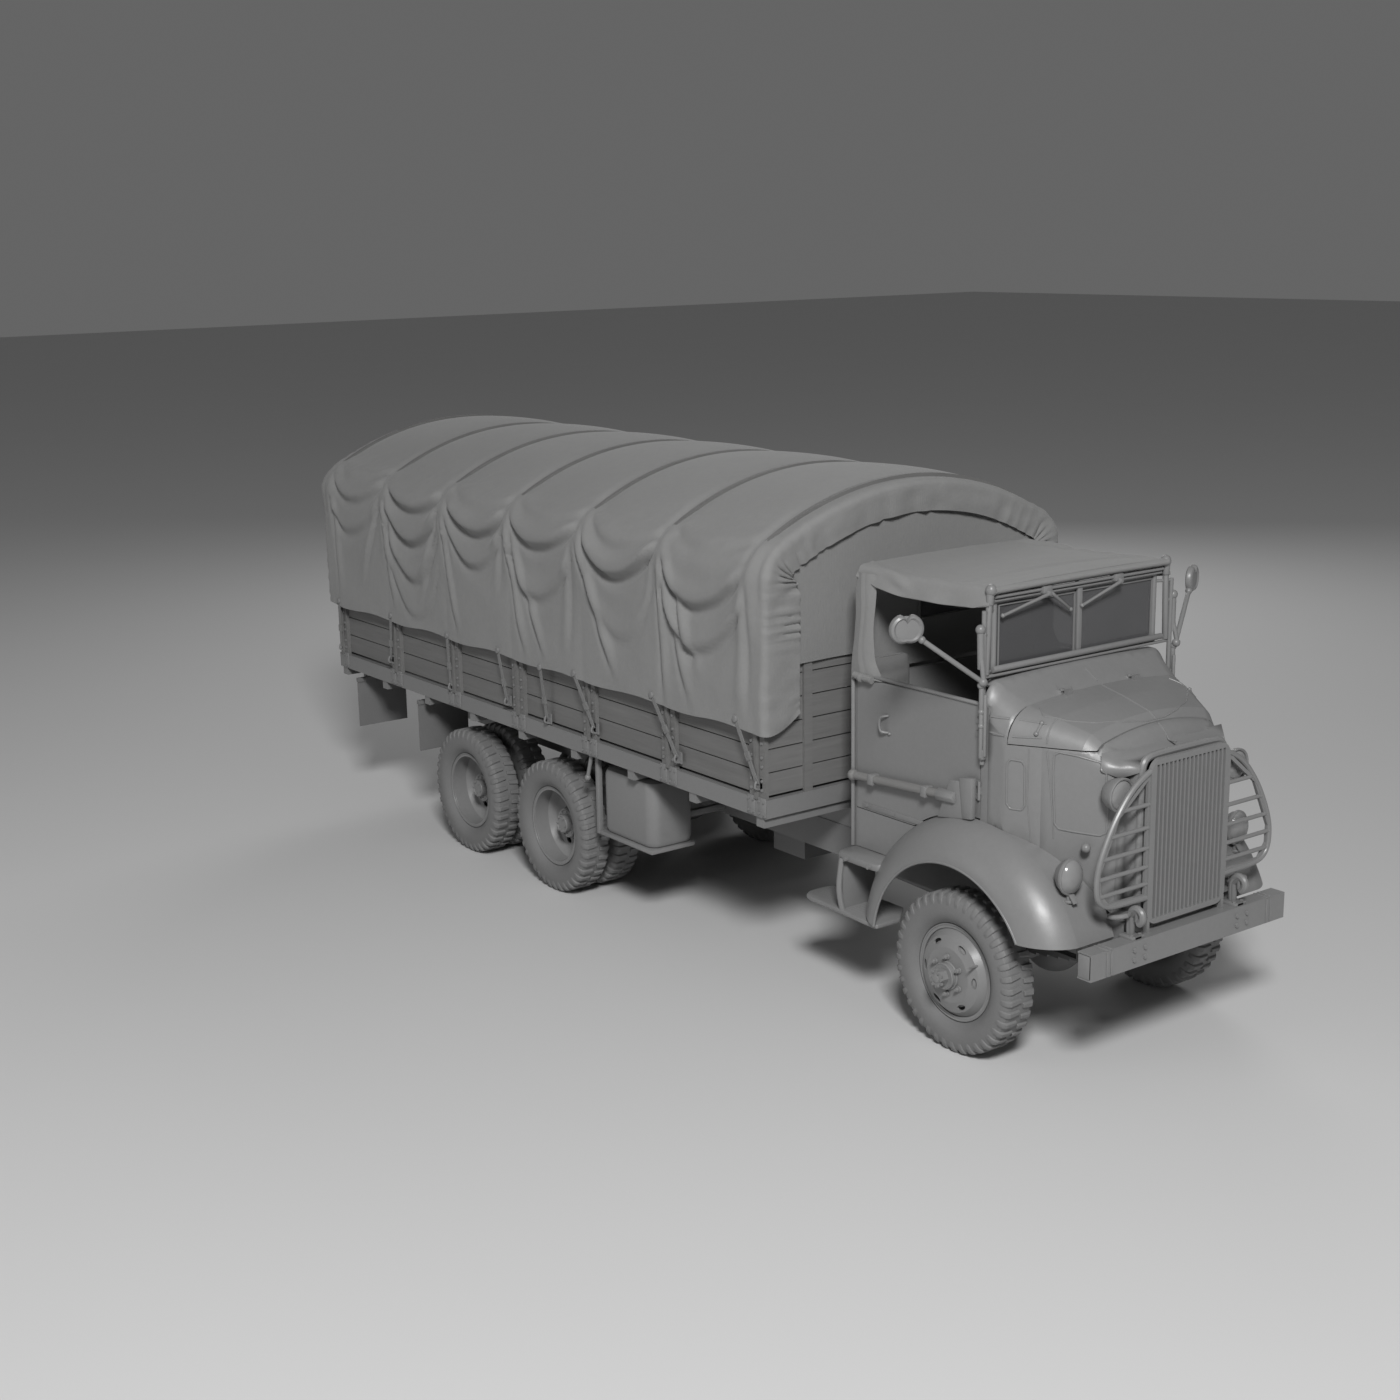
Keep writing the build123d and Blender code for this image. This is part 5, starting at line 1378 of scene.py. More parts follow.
class TRUCK_OT_lamps(bpy.types.Operator):
    """Headlamps, fender lamps and tail lamps with rings and lenses"""

    bl_idname = "truck.lamps"
    bl_label = "Lamps"

    def execute(self, context):
        low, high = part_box("headlamps")
        face, radius = high.x, (high.z - low.z) / 2
        centre_z, lenses, metal = (low.z + high.z) / 2, [], []
        for side in SIDES.values():
            y = side * (high.y - radius)
            bowl = [(-0.115, 0.0), (-0.110, 0.030), (-0.090, 0.056), (-0.060, 0.076), (-0.030, 0.085),
                    (-0.012, 0.087),
                    (-0.010, 0.091), (0.002, 0.091), (0.006, 0.086), (0.002, 0.078), (-0.006, 0.075),
                    (-0.006, 0.0)]
            metal.append(turned(bowl, (face - 0.006, y, centre_z), "x", 40))
            dome = [(0.0, 0.0745), (0.008, 0.066), (0.014, 0.045), (0.017, 0.020), (0.018, 0.0)]
            lenses.append(turned([(-0.004, 0.0), (-0.004, 0.0745), *dome], (face - 0.008, y, centre_z), "x",
                                 40))
            metal.append(rod((face - 0.05, y, centre_z - 0.09), (face - 0.05, y, centre_z - 0.070), 0.012,
                             12))
            root, tip = (face - 0.085, y - side * 0.07, centre_z), (face - 0.060, y - side * 0.115, centre_z)
            metal.append(strap(root, tip, 0.05, 0.010, (1, 0, 0), 0.002))
            y, x, z = side * (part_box("marker_lamps")[1].y - 0.052), place(0.640), 1.112
            shell = [(-0.082, 0.0), (-0.077, 0.024), (-0.060, 0.050), (-0.034, 0.070), (-0.010, 0.079),
                     (-0.004, 0.084),
                     (0.008, 0.084), (0.012, 0.079), (0.012, 0.0)]
            metal.append(stretched(turned(shell, (x, y, z), "x", 36), z, 1.16))
            bulb = [(0.008, 0.0), (0.008, 0.077), (0.026, 0.068), (0.042, 0.046), (0.049, 0.022),
                    (0.051, 0.0)]
            lenses.append(stretched(turned(bulb, (x, y, z), "x", 36), z, 1.16))
            foot = laid(skins("fenders"), [(x - 0.004, y, 1)], (0, 0, -1), -0.004)[0]
            metal += [rod(foot, (x - 0.004, y, z - 0.085), 0.016, 14, 0.0, 0.012),
                      rod(foot, foot + Vector((0, 0, 0.016)), 0.030, 16, 0.003),
                      strap(foot + Vector((0.050, 0, 0.004)), (x + 0.005, y, z - 0.085), 0.034, 0.008,
                            (1, 0, 0.6), 0.001)]
        finished("headlamp_shells", metal, "paint")
        finished("lamp_lenses", lenses, "lens")
        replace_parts(bpy.data.objects["headlamp_shells"], "headlamps", "marker_lamps")
        low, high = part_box("tail_lamps")
        rings, glows = [], []
        for side in SIDES.values():
            y, z = side * 0.890, (low.z + high.z) / 2
            rim = [(0.0, 0.040), (-0.008, 0.040), (-0.010, 0.033), (-0.004, 0.031), (-0.004, 0.0)]
            rings.append(turned(rim, (low.x, y, z), "x", 24))
            glow = [(-0.002, 0.0), (-0.002, 0.031), (-0.008, 0.022), (-0.011, 0.0)]
            glows.append(turned(glow, (low.x, y, z), "x", 24))
        rings.append(bar((low.x - 0.004, 0.62, z - 0.05), (low.x + 0.002, 0.82, z + 0.05), 0.002))
        rings.append(bar((low.x, 0.70, z - 0.02), (low.x + 0.08, 0.74, z + 0.09), 0.002))
        finished("tail_lamp_rings", rings, "paint")
        finished("tail_lamp_lenses", glows, "lens")
        return {"FINISHED"}


# Seats and controls


def cushion(low, high, crown, axis):
    """Crowned pad: its sides pull in between the corners, and channels are sewn across its face."""
    low, high = Vector(low), Vector(high)
    deselect()
    bpy.ops.mesh.primitive_cube_add(size=2)
    pad = bpy.context.object
    bpy.ops.object.mode_set(mode="EDIT")
    bpy.ops.mesh.subdivide(number_cuts=23)
    bpy.ops.object.mode_set(mode="OBJECT")
    half, middle = (high - low) / 2, (low + high) / 2
    others = [n for n in range(3) if n != axis]
    for vertex in pad.data.vertices:
        u = vertex.co.copy()
        for n in range(3):
            a, b = [m for m in range(3) if m != n]
            u[n] = vertex.co[n] * sqrt(1 - vertex.co[a] ** 6 * 0.14 - vertex.co[b] ** 6 * 0.14)
        a, b = others
        swell = (1 - vertex.co[a] ** 2) * (1 - vertex.co[b] ** 2)
        pull = (1 - vertex.co[axis] ** 2) * 0.012
        channel = abs(sin(pi * 2.5 * (vertex.co[b] + 1))) ** 0.5 - 1
        spot = Vector([u[n] * half[n] for n in range(3)])
        sewn = 0.006 * channel * soft_step(1 - abs(vertex.co[a]), 0.06, 0.25)
        spot[axis] += (crown * swell + sewn) * max(vertex.co[axis], 0.0)
        for n, other in (others, others[::-1]):
            spot[n] -= pull * (1 if u[n] > 0 else -1) * abs(u[n]) * (1 - vertex.co[other] ** 2)
        vertex.co = spot + middle
    return pad


def piping(low, high, level, axis, radius=0.005):
    """Sewn cord around a cushion at one level of its thickness."""
    a, b = [n for n in range(3) if n != axis]
    points = []
    for n in range(33):
        angle = 2 * pi * n / 32
        reach = (abs(cos(angle)) ** 8 + abs(sin(angle)) ** 8) ** (-1 / 8)
        spot = (Vector(low) + Vector(high)) / 2
        spot[a] += reach * cos(angle) * ((high[a] - low[a]) / 2 - 0.004)
        spot[b] += reach * sin(angle) * ((high[b] - low[b]) / 2 - 0.004)
        spot[axis] = level
        points.append(spot)
    return tube(points, radius, 2)


LEVERS = (
    # foot x and y, lean of the head, height
    (-0.300, 0.05, -0.10, 0.30), (-0.380, -0.05, -0.06, 0.24), (-0.420, 0.20, 0.05, 0.26),
)
DIALS = (
    # y, z, radius
    (0.41, 1.765, 0.046), (0.30, 1.770, 0.030), (0.52, 1.770, 0.030), (0.30, 1.70, 0.024),
    (0.52, 1.70, 0.024),
)


class TRUCK_OT_seats(bpy.types.Operator):
    """Two seats with padded bottoms and backs, pedals, levers and dials"""

    bl_idname = "truck.seats"
    bl_label = "Seats and controls"

    def execute(self, context):
        pads = []
        for side_name, side in SIDES.items():
            y0, y1 = sorted((side * 0.353, side * 0.647))
            for kind, low, high, axis in (("seat", at(-0.846, y0, 1.524), at(-0.434, y1, 1.612), 2),
                                          ("back", at(-0.932, y0, 1.566), at(-0.872, y1, 1.985), 0)):
                pad = cushion(low, high, 0.020, axis)
                level = high[axis] - 0.016
                cord = piping(low, high, level, axis)
                name = f"{kind}_pad_{side_name}"
                piece = finished(name, [pad], "seat", smooth=60)
                finished(f"{kind}_piping_{side_name}", [cord], "webbing")
                pads.append(piece)
        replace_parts(pads[0], "seat_cushions")
        parts = []
        for y in (0.30, 0.42, 0.54):
            parts += [bar(at(0.015, y - 0.032, 1.372), at(0.030, y + 0.032, 1.442), 0.004,
                          (0, radians(-25), 0)),
                      rod(at(0.028, y, 1.395), at(0.070, y, 1.330), 0.008, 10)]
        for x, y, lean, height in LEVERS:
            foot = at(x, y, 1.556)
            head = foot + Vector((lean, 0.01, height))
            parts += [rod(foot, head, 0.0085, 10), ball(head, 0.020),
                      rod(foot, foot + Vector((0, 0, 0.022)), 0.036, 16, 0.006)]
        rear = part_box("dashboard")[0].x
        for y, z, r in DIALS:
            dial = [(0.004, 0.0), (0.004, r), (-0.008, r), (-0.010, r - 0.005), (-0.004, r - 0.007),
                    (-0.004, 0.0)]
            parts.append(turned(dial, (rear, y, z), "x", 28))
        parts += [rod((rear - 0.022, y, 1.69), (rear, y, 1.69), 0.009, 12, 0.002)
                  for y in (-0.1, -0.02, 0.06, 0.14)]
        parts.append(bar((rear - 0.006, -0.56, 1.69), (rear + 0.002, -0.24, 1.80), 0.004))
        finished("cab_controls", parts, "chassis")
        return {"FINISHED"}


# Wheels


def ring(centre, radius, thickness, steps=56):
    """Round bead about a wheel's axis."""
    deselect()
    bpy.ops.mesh.primitive_torus_add(location=centre, rotation=(pi / 2, 0, 0), major_radius=radius,
                                     minor_radius=thickness,
                                     major_segments=steps, minor_segments=8)
    return settle(bpy.context.object)


def round_axle(centre, radius, count, y, turn=0.0):
    """Spots on a circle about a wheel's axis."""
    turns = [2 * pi * n / count + turn for n in range(count)]
    return [Vector((centre.x + radius * cos(a), y, centre.z + radius * sin(a))) for a in turns]


class TRUCK_OT_wheels(bpy.types.Operator):
    """Rim rings, wheel nuts, hub caps, valves and brake drums"""

    bl_idname = "truck.wheels"
    bl_label = "Wheel fittings"

    def execute(self, context):
        for node in [n for n in NODES if "wheel_disc" in n]:
            low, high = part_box(node)
            side = 1 if high.y > 0.1 else -1
            centre = (low + high) / 2
            outer = max(abs(low.y), abs(high.y))
            way, out = (0, side, 0), Vector((0, side, 0))
            if node.startswith("front"):
                rims, nut_y, nut_reach, cap_y, cap_reach = (0.824,), 0.875, 0.104, outer, 0.040
            else:
                rims, nut_y, nut_reach, cap_y, cap_reach = (1.049, 0.921), 0.868, 0.124, 0.988, 0.050
            parts = []
            for rim in rims:
                parts += [ring((centre.x, side * (rim - 0.001), centre.z), 0.2635, 0.0055),
                          ring((centre.x, side * (rim - 0.004), centre.z), 0.2475, 0.004)]
            for spot in round_axle(centre, nut_reach, 6, side * nut_y, pi / 6):
                parts += [rod(spot, spot + out * 0.010, 0.017, 12, 0.002),
                          rod(spot + out * 0.010, spot + out * 0.026, 0.013, 6, 0.002),
                          rod(spot + out * 0.026, spot + out * 0.034, 0.007, 8)]
            cap = Vector((centre.x, side * cap_y, centre.z))
            spots = [(p, way) for p in round_axle(centre, cap_reach, 6, cap.y)]
            parts.append(bolts(spots, 0.009, 0.010 if len(rims) > 1 else 0.006))
            if len(rims) == 1:
                parts += [ring((centre.x, side * 0.906, centre.z), 0.068, 0.006, 32),
                          ring((centre.x, side * 0.880, centre.z), 0.074, 0.007, 32),
                          rod(cap - out * 0.004, cap + out * 0.004, 0.024, 12, 0.002)]
                edge = round_axle(centre, 0.0455, 6, side * 0.936, pi / 6)
                parts.append(bolts([(p + out * 0.016, way) for p in edge], 0.0085, 0.007))
            else:
                parts += [ring((centre.x, side * 0.950, centre.z), 0.092, 0.007, 32),
                          ring((centre.x, side * 0.986, centre.z), 0.056, 0.006, 32),
                          bolts([(p, way) for p in round_axle(centre, 0.080, 8, side * 0.948)], 0.008,
                                0.009)]
            valve = Vector((centre.x + 0.19, side * (nut_y - 0.03), centre.z + 0.10))
            parts.append(rod(valve, valve + out * 0.075 + Vector((0.01, 0, 0.006)), 0.006, 8))
            drum = [(0.0, 0.105), (0.0, 0.178), (0.012, 0.184), (0.070, 0.184), (0.080, 0.170),
                    (0.080, 0.105), (0.0, 0.105)]
            inner = 0.775 if len(rims) == 1 else 0.700
            hub = (centre.x, side * inner, centre.z)
            parts.append(turned([(side * a, r) for a, r in drum], hub, "y", 40))
            finished(node.replace("discs", "fittings").replace("disc", "fittings"), parts, "paint",
                     NODES[node]["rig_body"])
        return {"FINISHED"}


# Sheet metal of the front, guard, bumper, steps and axe

GUARD_WING = ((0.0, 1.640), (0.105, 1.600), (0.240, 1.450), (0.325, 1.300), (0.372, 1.176), (0.372, 1.070),
              (0.345, 1.015),
              (0.290, 0.985), (0.150, 0.976), (0.0, 0.975))
GUARD_RUNGS = ((1.470, 0.205), (1.348, 0.290), (1.240, 0.340), (1.140, 0.362), (1.050, 0.355))
FENDER_HUB = Vector((0.020, 0.0, 0.485))


def fender_sheet(side, outline, low, high):
    """Sheet turned about the wheel arch's centre, between two angles in degrees."""
    rows, steps = [], 56
    for y, radius in outline:
        start = max(radians(low), asin(min((0.775 - FENDER_HUB.z) / radius, 1.0)))
        turns = [start + (radians(high) - start) * n / steps for n in range(steps + 1)]
        rows.append([at(FENDER_HUB.x + radius * cos(a), side * y,
                        FENDER_HUB.z + radius * sin(a)) for a in turns])
    wide = steps + 1
    faces = [(r * wide + c, (r + 1) * wide + c, (r + 1) * wide + c + 1, r * wide + c + 1)
             for r in range(len(rows) - 1) for c in range(steps)]
    obj = from_faces("fender", [p for row in rows for p in row], faces)
    return faces_out(applied(obj, "SOLIDIFY", thickness=0.008, offset=0.0))


def brow(co):
    """Pulls the boxed brow over each headlamp back to a rounded form."""
    x, y, z = co
    if z > 1.60 and abs(y) > 0.345 and x > place(0.700):
        share = (abs(y) - 0.330) / 0.132
        return Vector((min(x, place(0.725)), y - 0.062 * share * (1 if y > 0 else -1), z - 0.034 * share))
    return co


class TRUCK_OT_front(bpy.types.Operator):
    """Fenders, nose, guard wings, bumper and tow loops"""

    bl_idname = "truck.front"
    bl_label = "Front sheet metal"

    def execute(self, context):
        sheets, swept = [], [radians(7.5 * n) for n in range(13)]
        crown = [(0.700 + 0.205 * cos(a) ** 1.2,
                  0.584 + 0.206 * sin(a) ** 1.2) for a in swept[:-1]] + [(0.700, 0.790)]
        for side in SIDES.values():
            shelf = [(0.702, 0.789), (0.570, 0.789), (0.440, 0.789)]
            sheets += [fender_sheet(side, crown, 20, 172), fender_sheet(side, shelf, 20, 83)]
            turns = [radians(30 + 142 * n / 40) for n in range(41)]
            sheets.append(tube([at(0.020 + 0.584 * cos(a), side * 0.904,
                                   0.485 + 0.584 * sin(a)) for a in turns], 0.0085))
        piece = finished("fender_skins", sheets, "paint", smooth=50)
        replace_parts(piece, "fenders")
        for node, move in (("nose", brow), ("cowl", None)):
            piece = finished(f"{node}_skin", [reshaped(node, move)], "paint", smooth=50)
            applied(piece, "WEIGHTED_NORMAL", keep_sharp=True)
            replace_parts(piece, node)
        lip = [(-0.318, 0.900), (-0.318, 1.500), (-0.318, 1.640), (-0.296, 1.694), (-0.230, 1.708),
               (0.230, 1.708), (0.296, 1.694),
               (0.318, 1.640), (0.318, 1.500), (0.318, 0.900)]
        guard = [tube([at(0.794, y, z) for y, z in lip], 0.0205)]
        for side in SIDES.values():
            wing = [at(0.835, side * (0.297 + reach), z) for reach, z in GUARD_WING]
            guard.append(tube(wing, 0.0155))
            for z, reach in GUARD_RUNGS:
                guard.append(rod(at(0.835, side * 0.290, z), at(0.835, side * (0.297 + reach), z), 0.0115,
                                 12))
        finished("guard_tubes", guard, "paint")
        face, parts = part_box("front_bumper")[1].x, []
        for side in SIDES.values():
            end = [(0.806, 0.650), (0.884, 0.650), (0.892, 0.658), (0.892, 0.776), (0.884, 0.784),
                   (0.806, 0.784)]
            parts.append(plate(end, side * 0.750, 0.012))
            for y in (0.600, 0.632):
                low, high = sorted((side * y, side * (y + 0.014)))
                parts += [bar((face - 0.002, low, 0.650), (face + 0.006, high, 0.783), 0.003),
                          bar((face - 0.088, low, 0.784), (face + 0.004, high, 0.793), 0.003)]
            spots = [((face, side * y, z), (1, 0, 0)) for y in (0.36, 0.44) for z in (0.690, 0.742)]
            parts.append(bolts(spots, 0.013, 0.009))
            y = side * 0.400
            parts.append(bar((face - 0.100, y - 0.046, 0.786), (face - 0.010, y + 0.046, 0.804), 0.004))
            parts.append(bolts([((face - 0.030, y + dy, 0.804), (0, 0, 1)) for dy in (-0.03, 0.03)], 0.010,
                               0.008))
            loop = [(-0.066, 0.800), (-0.072, 0.860), (-0.066, 0.925), (-0.030, 0.950), (0.010, 0.930),
                    (0.014, 0.890),
                    (-0.012, 0.868)]
            parts.append(tube([(face + x, y, z) for x, z in loop], 0.020))
            link = [(face - 0.075 + 0.050 * cos(a) - 0.02, y + side * 0.055 + 0.050 * sin(a),
                     0.905 + 0.012 * cos(a))
                    for a in [2 * pi * n / 12 for n in range(13)]]
            parts.append(tube(link, 0.013))
        finished("bumper_fittings", parts, "paint")
        return {"FINISHED"}


class TRUCK_OT_steps(bpy.types.Operator):
    """Rolled edges and treads of the steps, and the axe on the right door"""

    bl_idname = "truck.steps"
    bl_label = "Steps and axe"

    def execute(self, context):
        parts = []
        for side in SIDES.values():
            lower = [(-0.566, 0.700), (-0.566, 0.870), (-0.590, 0.882), (-0.700, 0.878), (-0.900, 0.864),
                     (-1.150, 0.858),
                     (-1.215, 0.842), (-1.245, 0.800), (-1.252, 0.740), (-1.248, 0.650), (-1.220, 0.595),
                     (-1.150, 0.562),
                     (-0.690, 0.562)]
            upper = [(-0.575, 0.690), (-0.575, 0.820), (-0.596, 0.848), (-0.640, 0.854), (-0.880, 0.854),
                     (-0.925, 0.842),
                     (-0.948, 0.810), (-0.950, 0.690)]
            parts += [board([(x, side * y) for x, y in lower], 0.536, 0.565, 0.010),
                      board([(x, side * y) for x, y in upper], 0.852, 0.898, 0.015)]
            low, high = sorted((side * 0.430, side * 0.702))
            parts.append(bar(at(-0.915, low, 0.835), at(-0.860, high, 0.858), 0.004))
            low, high = sorted((side * 0.600, side * 0.842))
            parts.append(bar(at(-0.902, low, 0.562), at(-0.886, high, 0.853), 0.004))
            for n in range(9):
                low, high = sorted((side * (0.600 + 0.026 * n), side * (0.608 + 0.026 * n)))
                parts.append(bar(at(-1.220, low, 0.560), at(-0.720, high, 0.566), 0.002))
            stay = [(-0.888, 0.845, 0.555), (-0.892, 0.866, 0.640), (-0.896, 0.864, 0.740),
                    (-0.900, 0.840, 0.860)]
            parts.append(tube([at(x, side * y, z) for x, y, z in stay], 0.018))
            parts.append(bolts([(at(x, side * 0.851, 0.873), (0, side, 0)) for x in (-0.84, -0.65)], 0.011,
                               0.022))
        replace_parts(finished("step_boards", parts, "paint"), "cab_steps")
        y = -0.732
        axe = [rod(at(-0.925, y, 1.322), at(-0.160, y, 1.370), 0.024, 16, 0.0, 0.027),
               ball(at(-0.930, y, 1.321), 0.033)]
        axe.append(rod(at(-0.235, y, 1.365), at(-0.100, y, 1.373), 0.036, 8, 0.004))
        axe.append(plate([(-0.145, 1.464), (-0.059, 1.475), (-0.036, 1.272), (-0.237, 1.239)], y, 0.018,
                         0.005))
        axe.append(plate([(-0.070, 1.494), (0.032, 1.508), (0.030, 1.283), (-0.040, 1.272)], y, 0.034,
                         0.008))
        for x, z in ((-0.760, 1.332), (-0.330, 1.359)):
            axe.append(bar(at(x - 0.022, y - 0.030, z - 0.030), at(x + 0.022, -0.7015, z + 0.030), 0.006))
        piece = finished("axe", axe[:2], "handle", "door_right")
        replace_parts(piece, "pioneer_axe")
        finished("axe_head", axe[2:], "paint", "door_right")
        return {"FINISHED"}


# Cargo body


def stake_places():
    low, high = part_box("side_racks")
    spots = [place(-1.312 - 0.860 * n + end * 0.048) for n in range(7) for end in (-1, 1)]
    return [x for x in spots if low.x < x - 0.020 and x + 0.020 < high.x]


SPRING_CLIPS = (
    # node, middle x, top z, reach of the two clips, foot z
    ("front_springs", 0.0, 0.672, 0.050, 0.430), ("bogie_springs", -4.166, 0.640, 0.055, 0.452),
)


class TRUCK_OT_body_fittings(bpy.types.Operator):
    """Bolts, clips, tailgate irons, tank bands, locker lid and spring bolts"""

    bl_idname = "truck.body_fittings"
    bl_label = "Body fittings"

    def execute(self, context):
        parts = []
        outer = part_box("side_racks")[1].y
        for side in SIDES.values():
            way = (0, side, 0)
            spots = [((x, side * outer, z), way) for x in stake_places()
                     for z in (1.226, 1.279, 1.363, 1.416, 1.500)]
            parts.append(bolts(spots, 0.0095, 0.008))
            spots = []
            for x in stake_places():
                low, high = sorted((side * (outer - 0.002), side * (outer + 0.008)))
                parts.append(bar((x - 0.034, low, 1.070), (x + 0.034, high, 1.182), 0.003))
                spots += [((x + dx, side * (outer + 0.008), z), way)
                          for dx in (-0.022, 0.022) for z in (1.090, 1.160)]
            parts.append(bolts(spots, 0.008, 0.006))
            for x in (-1.300, -6.480):
                low, high = sorted((side * (outer - 0.050), side * (outer + 0.006)))
                parts.append(bar(at(x - 0.040, low, 1.062), at(x + 0.040, high, 1.166), 0.004))
        finished("body_irons", parts, "paint")
        low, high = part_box("tailgate")
        parts = []
        for y in (-0.900, -0.300, 0.300, 0.900):
            parts.append(bar((low.x + 0.010, y - 0.024, 1.180), (low.x + 0.022, y + 0.024, 1.728), 0.003))
            spots = [((low.x + 0.010, y, z), (-1, 0, 0)) for z in (1.220, 1.330, 1.450, 1.570, 1.690)]
            parts.append(bolts(spots, 0.010, 0.008))
            parts.append(rod((low.x + 0.008, y - 0.032, 1.162), (low.x + 0.008, y + 0.032, 1.162), 0.0085,
                             12, 0.001))
        for side in SIDES.values():
            y = side * (high.y - 0.030)
            parts.append(bar((low.x + 0.008, y - 0.022, 1.560), (low.x + 0.020, y + 0.022, 1.700), 0.003))
            parts.append(rod((low.x - 0.010, y, 1.680), (low.x + 0.012, y, 1.680), 0.012, 12, 0.002))
        finished("tailgate_irons", parts, "paint", NODES["tailgate"]["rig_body"])
        turns = [(-2.530, -0.980, 0), (-2.930, -0.980, 90), (-2.930, -0.800, 180), (-2.530, -0.800, 270)]
        outline = [(x + 0.080 * cos(radians(turn + 15 * n)), y - 0.080 * sin(radians(turn + 15 * n)))
                   for x, y, turn in turns for n in range(7)]
        tank = [board(outline, 0.556, 0.988, 0.040),
                bar(at(-3.020, -1.072, 0.535), at(-2.440, -0.740, 0.560), 0.004),
                bar(at(-3.052, -1.074, 0.535), at(-3.020, -1.040, 1.064), 0.004),
                rod(at(-2.730, -0.900, 0.984), at(-2.730, -0.900, 1.010), 0.034, 20, 0.004),
                rod(at(-3.066, -1.086, 1.062), at(-3.108, -1.094, 0.900), 0.013, 12),
                ball(at(-3.108, -1.094, 0.898), 0.021)]
        for x in (-2.960, -2.550):
            tank.append(bar(at(x - 0.020, -0.790, 0.690), at(x + 0.020, -0.420, 0.730), 0.003))
        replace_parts(finished("fuel_tank_shell", tank, "paint"), "fuel_tank")
        locker = [bar(at(-2.990, 1.052, 0.575), at(-2.470, 1.068, 0.925), 0.005),
                  bar(at(-2.760, 1.062, 0.880), at(-2.700, 1.082, 0.950), 0.004),
                  rod(at(-2.730, 1.082, 0.900), at(-2.730, 1.092, 0.900), 0.016, 14, 0.002)]
        locker += [rod(at(x, 1.068, 0.580), at(x + 0.08, 1.068, 0.580), 0.010, 12, 0.002)
                   for x in (-2.930, -2.610)]
        finished("locker_lid", locker, "paint")
        parts = []
        for node, x, top, reach, foot in SPRING_CLIPS:
            low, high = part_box(node)
            for side in SIDES.values():
                y = side * (high.y - 0.038)
                for dx in (-reach, reach):
                    clip = [(-0.046, foot), (-0.046, top - 0.02), (-0.038, top),
                            (0.038, top), (0.046, top - 0.02), (0.046, foot)]
                    parts.append(tube([at(x + dx, y + across, z) for across, z in clip], 0.008, 2))
        for side in SIDES.values():
            for x in (-5.330, -6.290):
                spots = [(at(x - 0.015, side * y, 0.985), (-1, 0, 0)) for y in (0.76, 0.90, 1.05)]
                parts.append(bolts(spots, 0.010, 0.008))
        finished("spring_clips", parts, "chassis")
        return {"FINISHED"}


# The stage

CAMERA_PLACE = (AXLE_X + 7.1425, -7.7269, 4.3394)
CAMERA_YAW, CAMERA_PITCH, CAMERA_ROLL = radians(143.669), radians(-13.576), -0.0179
CAMERA_LENS = 50.63


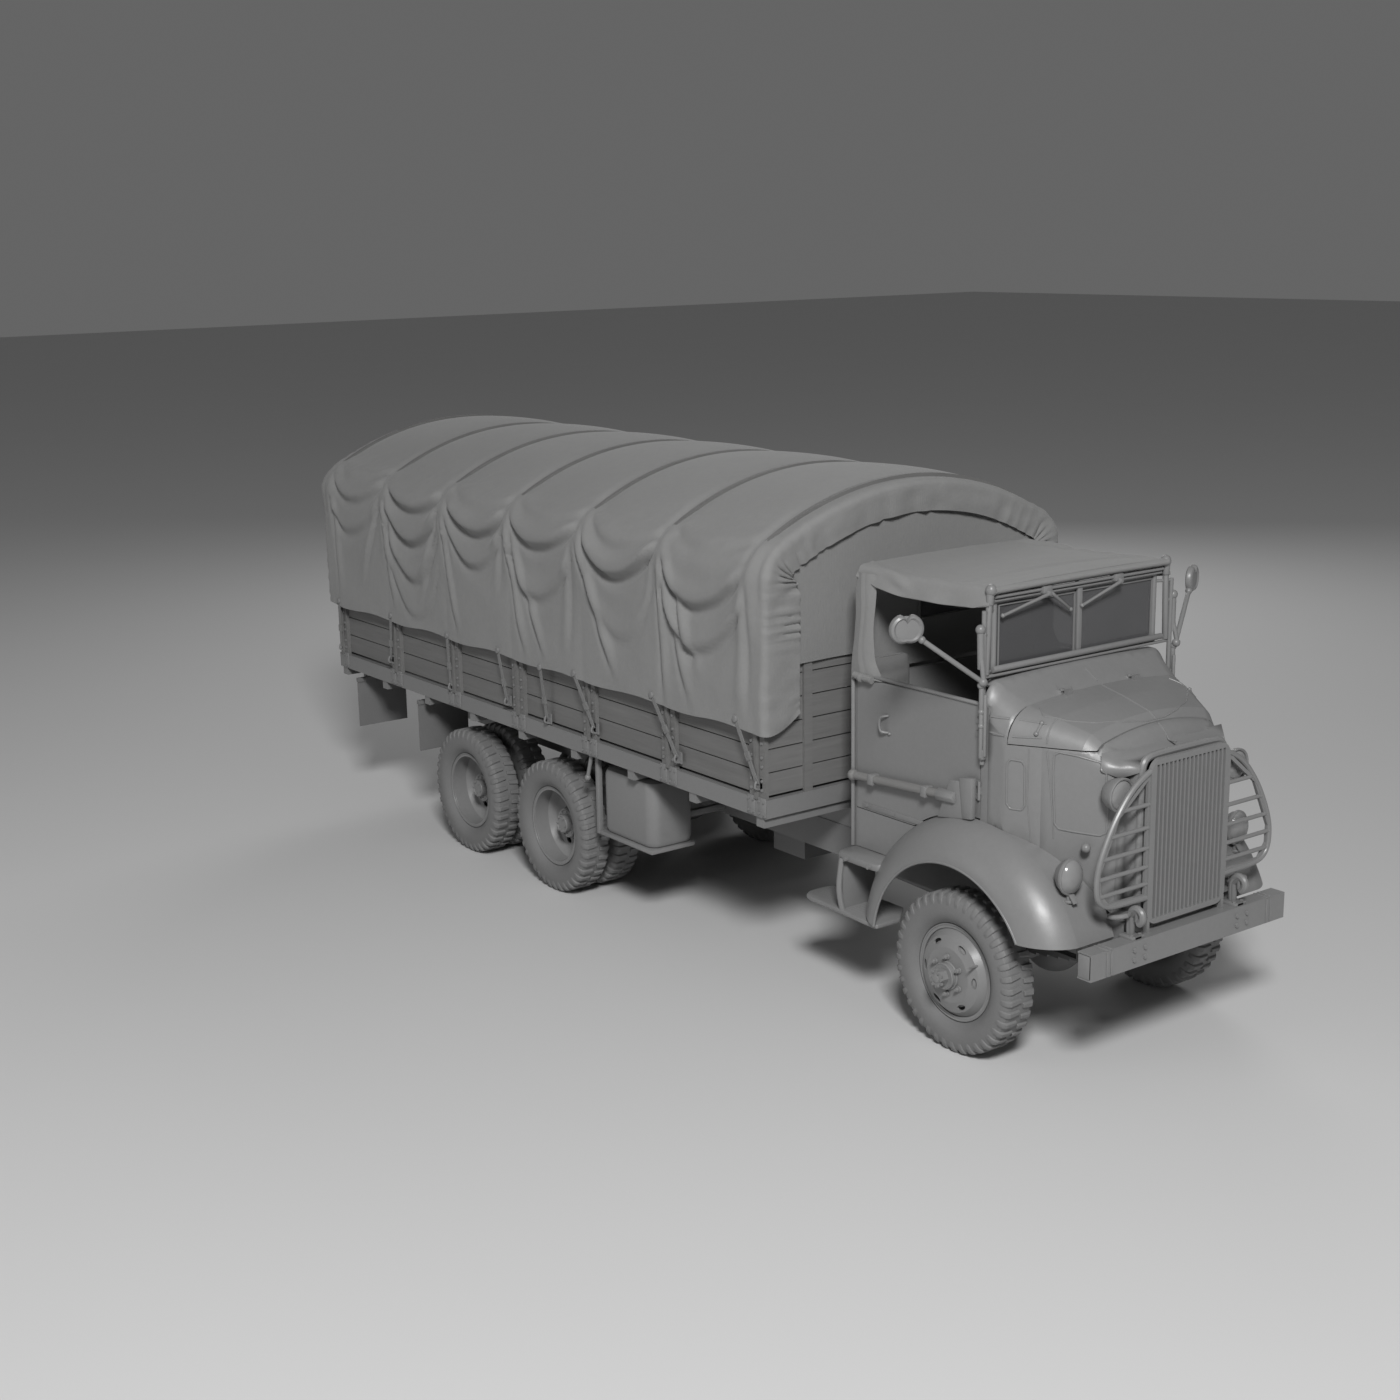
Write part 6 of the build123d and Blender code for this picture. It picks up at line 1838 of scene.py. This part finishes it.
class TRUCK_OT_stage(bpy.types.Operator):
    """Camera at the photograph's angle, pale floor and soft studio lamps"""

    bl_idname = "truck.stage"
    bl_label = "Stage"

    def execute(self, context):
        scene = context.scene
        look = Vector((cos(CAMERA_PITCH) * cos(CAMERA_YAW), cos(CAMERA_PITCH) * sin(CAMERA_YAW),
                       sin(CAMERA_PITCH)))
        level = look.cross(Vector((0, 0, 1))).normalized()
        above = level.cross(look)
        right = cos(CAMERA_ROLL) * level + sin(CAMERA_ROLL) * above
        up = cos(CAMERA_ROLL) * above - sin(CAMERA_ROLL) * level
        camera = bpy.data.objects.new("camera", bpy.data.cameras.new("camera"))
        camera.data.lens, camera.data.clip_end = CAMERA_LENS, 200
        turn = Matrix((right, up, -look)).transposed().to_4x4()
        camera.matrix_world = Matrix.Translation(CAMERA_PLACE) @ turn
        scene.collection.objects.link(camera)
        scene.camera = camera
        deselect()
        bpy.ops.mesh.primitive_plane_add(size=160, location=(0, 0, 0))
        floor = bpy.context.object
        floor.name = "studio_floor"
        f = Finish("studio_floor", scene.truck_colours.floor, 0.9)
        f.vary(f.noise(0.4, 3.0), 0.01)
        floor.data.materials.append(f.finished())
        world = bpy.data.worlds.new("studio")
        world.use_nodes = True
        world.node_tree.nodes["Background"].inputs[0].default_value = (0.86, 0.86, 0.86, 1)
        world.node_tree.nodes["Background"].inputs[1].default_value = 0.15
        scene.world = world
        lamps = (
            # name, place, aimed at, size, power
            ("key", (13.0, -9.0, 12.0), (0, 0, 1.2), 3.2, 2900.0),
            ("fill", (-3.0, -13.0, 5.0), (0, 0, 1.2), 6.0, 150.0),
            ("back", (-9.0, 9.0, 8.0), (0, 0, 1.5), 6.0, 380.0),
        )
        for name, spot, target, size, power in lamps:
            data = bpy.data.lights.new(name, "AREA")
            data.size, data.energy = size, power
            lamp = bpy.data.objects.new(name, data)
            turn = (Vector(spot) - Vector(target)).to_track_quat("Z", "Y").to_matrix().to_4x4()
            lamp.matrix_world = Matrix.Translation(spot) @ turn
            scene.collection.objects.link(lamp)
        scene.view_settings.view_transform = "Standard"
        return {"FINISHED"}


class TRUCK_OT_finishes(bpy.types.Operator):
    """Makes the finishes and paints the carried-over nodes"""

    bl_idname = "truck.finishes"
    bl_label = "Finishes"

    def execute(self, context):
        make_finishes(context.scene.truck_colours)
        paint_nodes()
        return {"FINISHED"}


OPERATORS = (TRUCK_OT_stage, TRUCK_OT_finishes, TRUCK_OT_cover, TRUCK_OT_cover_seams, TRUCK_OT_end_curtains,
             TRUCK_OT_cover_straps, TRUCK_OT_tyres, TRUCK_OT_cab_top, TRUCK_OT_windscreen, TRUCK_OT_mirrors,
             TRUCK_OT_cab_trim, TRUCK_OT_lamps, TRUCK_OT_seats, TRUCK_OT_wheels, TRUCK_OT_front,
             TRUCK_OT_steps, TRUCK_OT_body_fittings)


class TRUCK_PT_panel(bpy.types.Panel):
    """Lists the truck's pieces and sizes"""

    bl_idname = "TRUCK_PT_panel"
    bl_label = "Cargo truck"
    bl_space_type = "VIEW_3D"
    bl_region_type = "UI"
    bl_category = "Truck"

    def draw(self, context):
        for group in GROUPS:
            settings = getattr(context.scene, group)
            for name in settings.__annotations__:
                self.layout.prop(settings, name)
        for operator in OPERATORS:
            self.layout.operator(operator.bl_idname)


GROUPS = {"truck_canvas": CanvasSizes, "truck_tyres": TyreSizes, "truck_colours": FinishColours}


def register():
    for group in GROUPS.values():
        bpy.utils.register_class(group)
    for name, group in GROUPS.items():
        setattr(bpy.types.Scene, name, bpy.props.PointerProperty(type=group))
    for operator in (*OPERATORS, TRUCK_PT_panel):
        bpy.utils.register_class(operator)


def unregister():
    for operator in (TRUCK_PT_panel, *OPERATORS[::-1]):
        bpy.utils.unregister_class(operator)
    for name, group in GROUPS.items():
        delattr(bpy.types.Scene, name)
        bpy.utils.unregister_class(group)


def main():
    register()
    for operator in OPERATORS:
        group, name = operator.bl_idname.split(".")
        getattr(getattr(bpy.ops, group), name)()


if __name__ == "__main__":
    main()
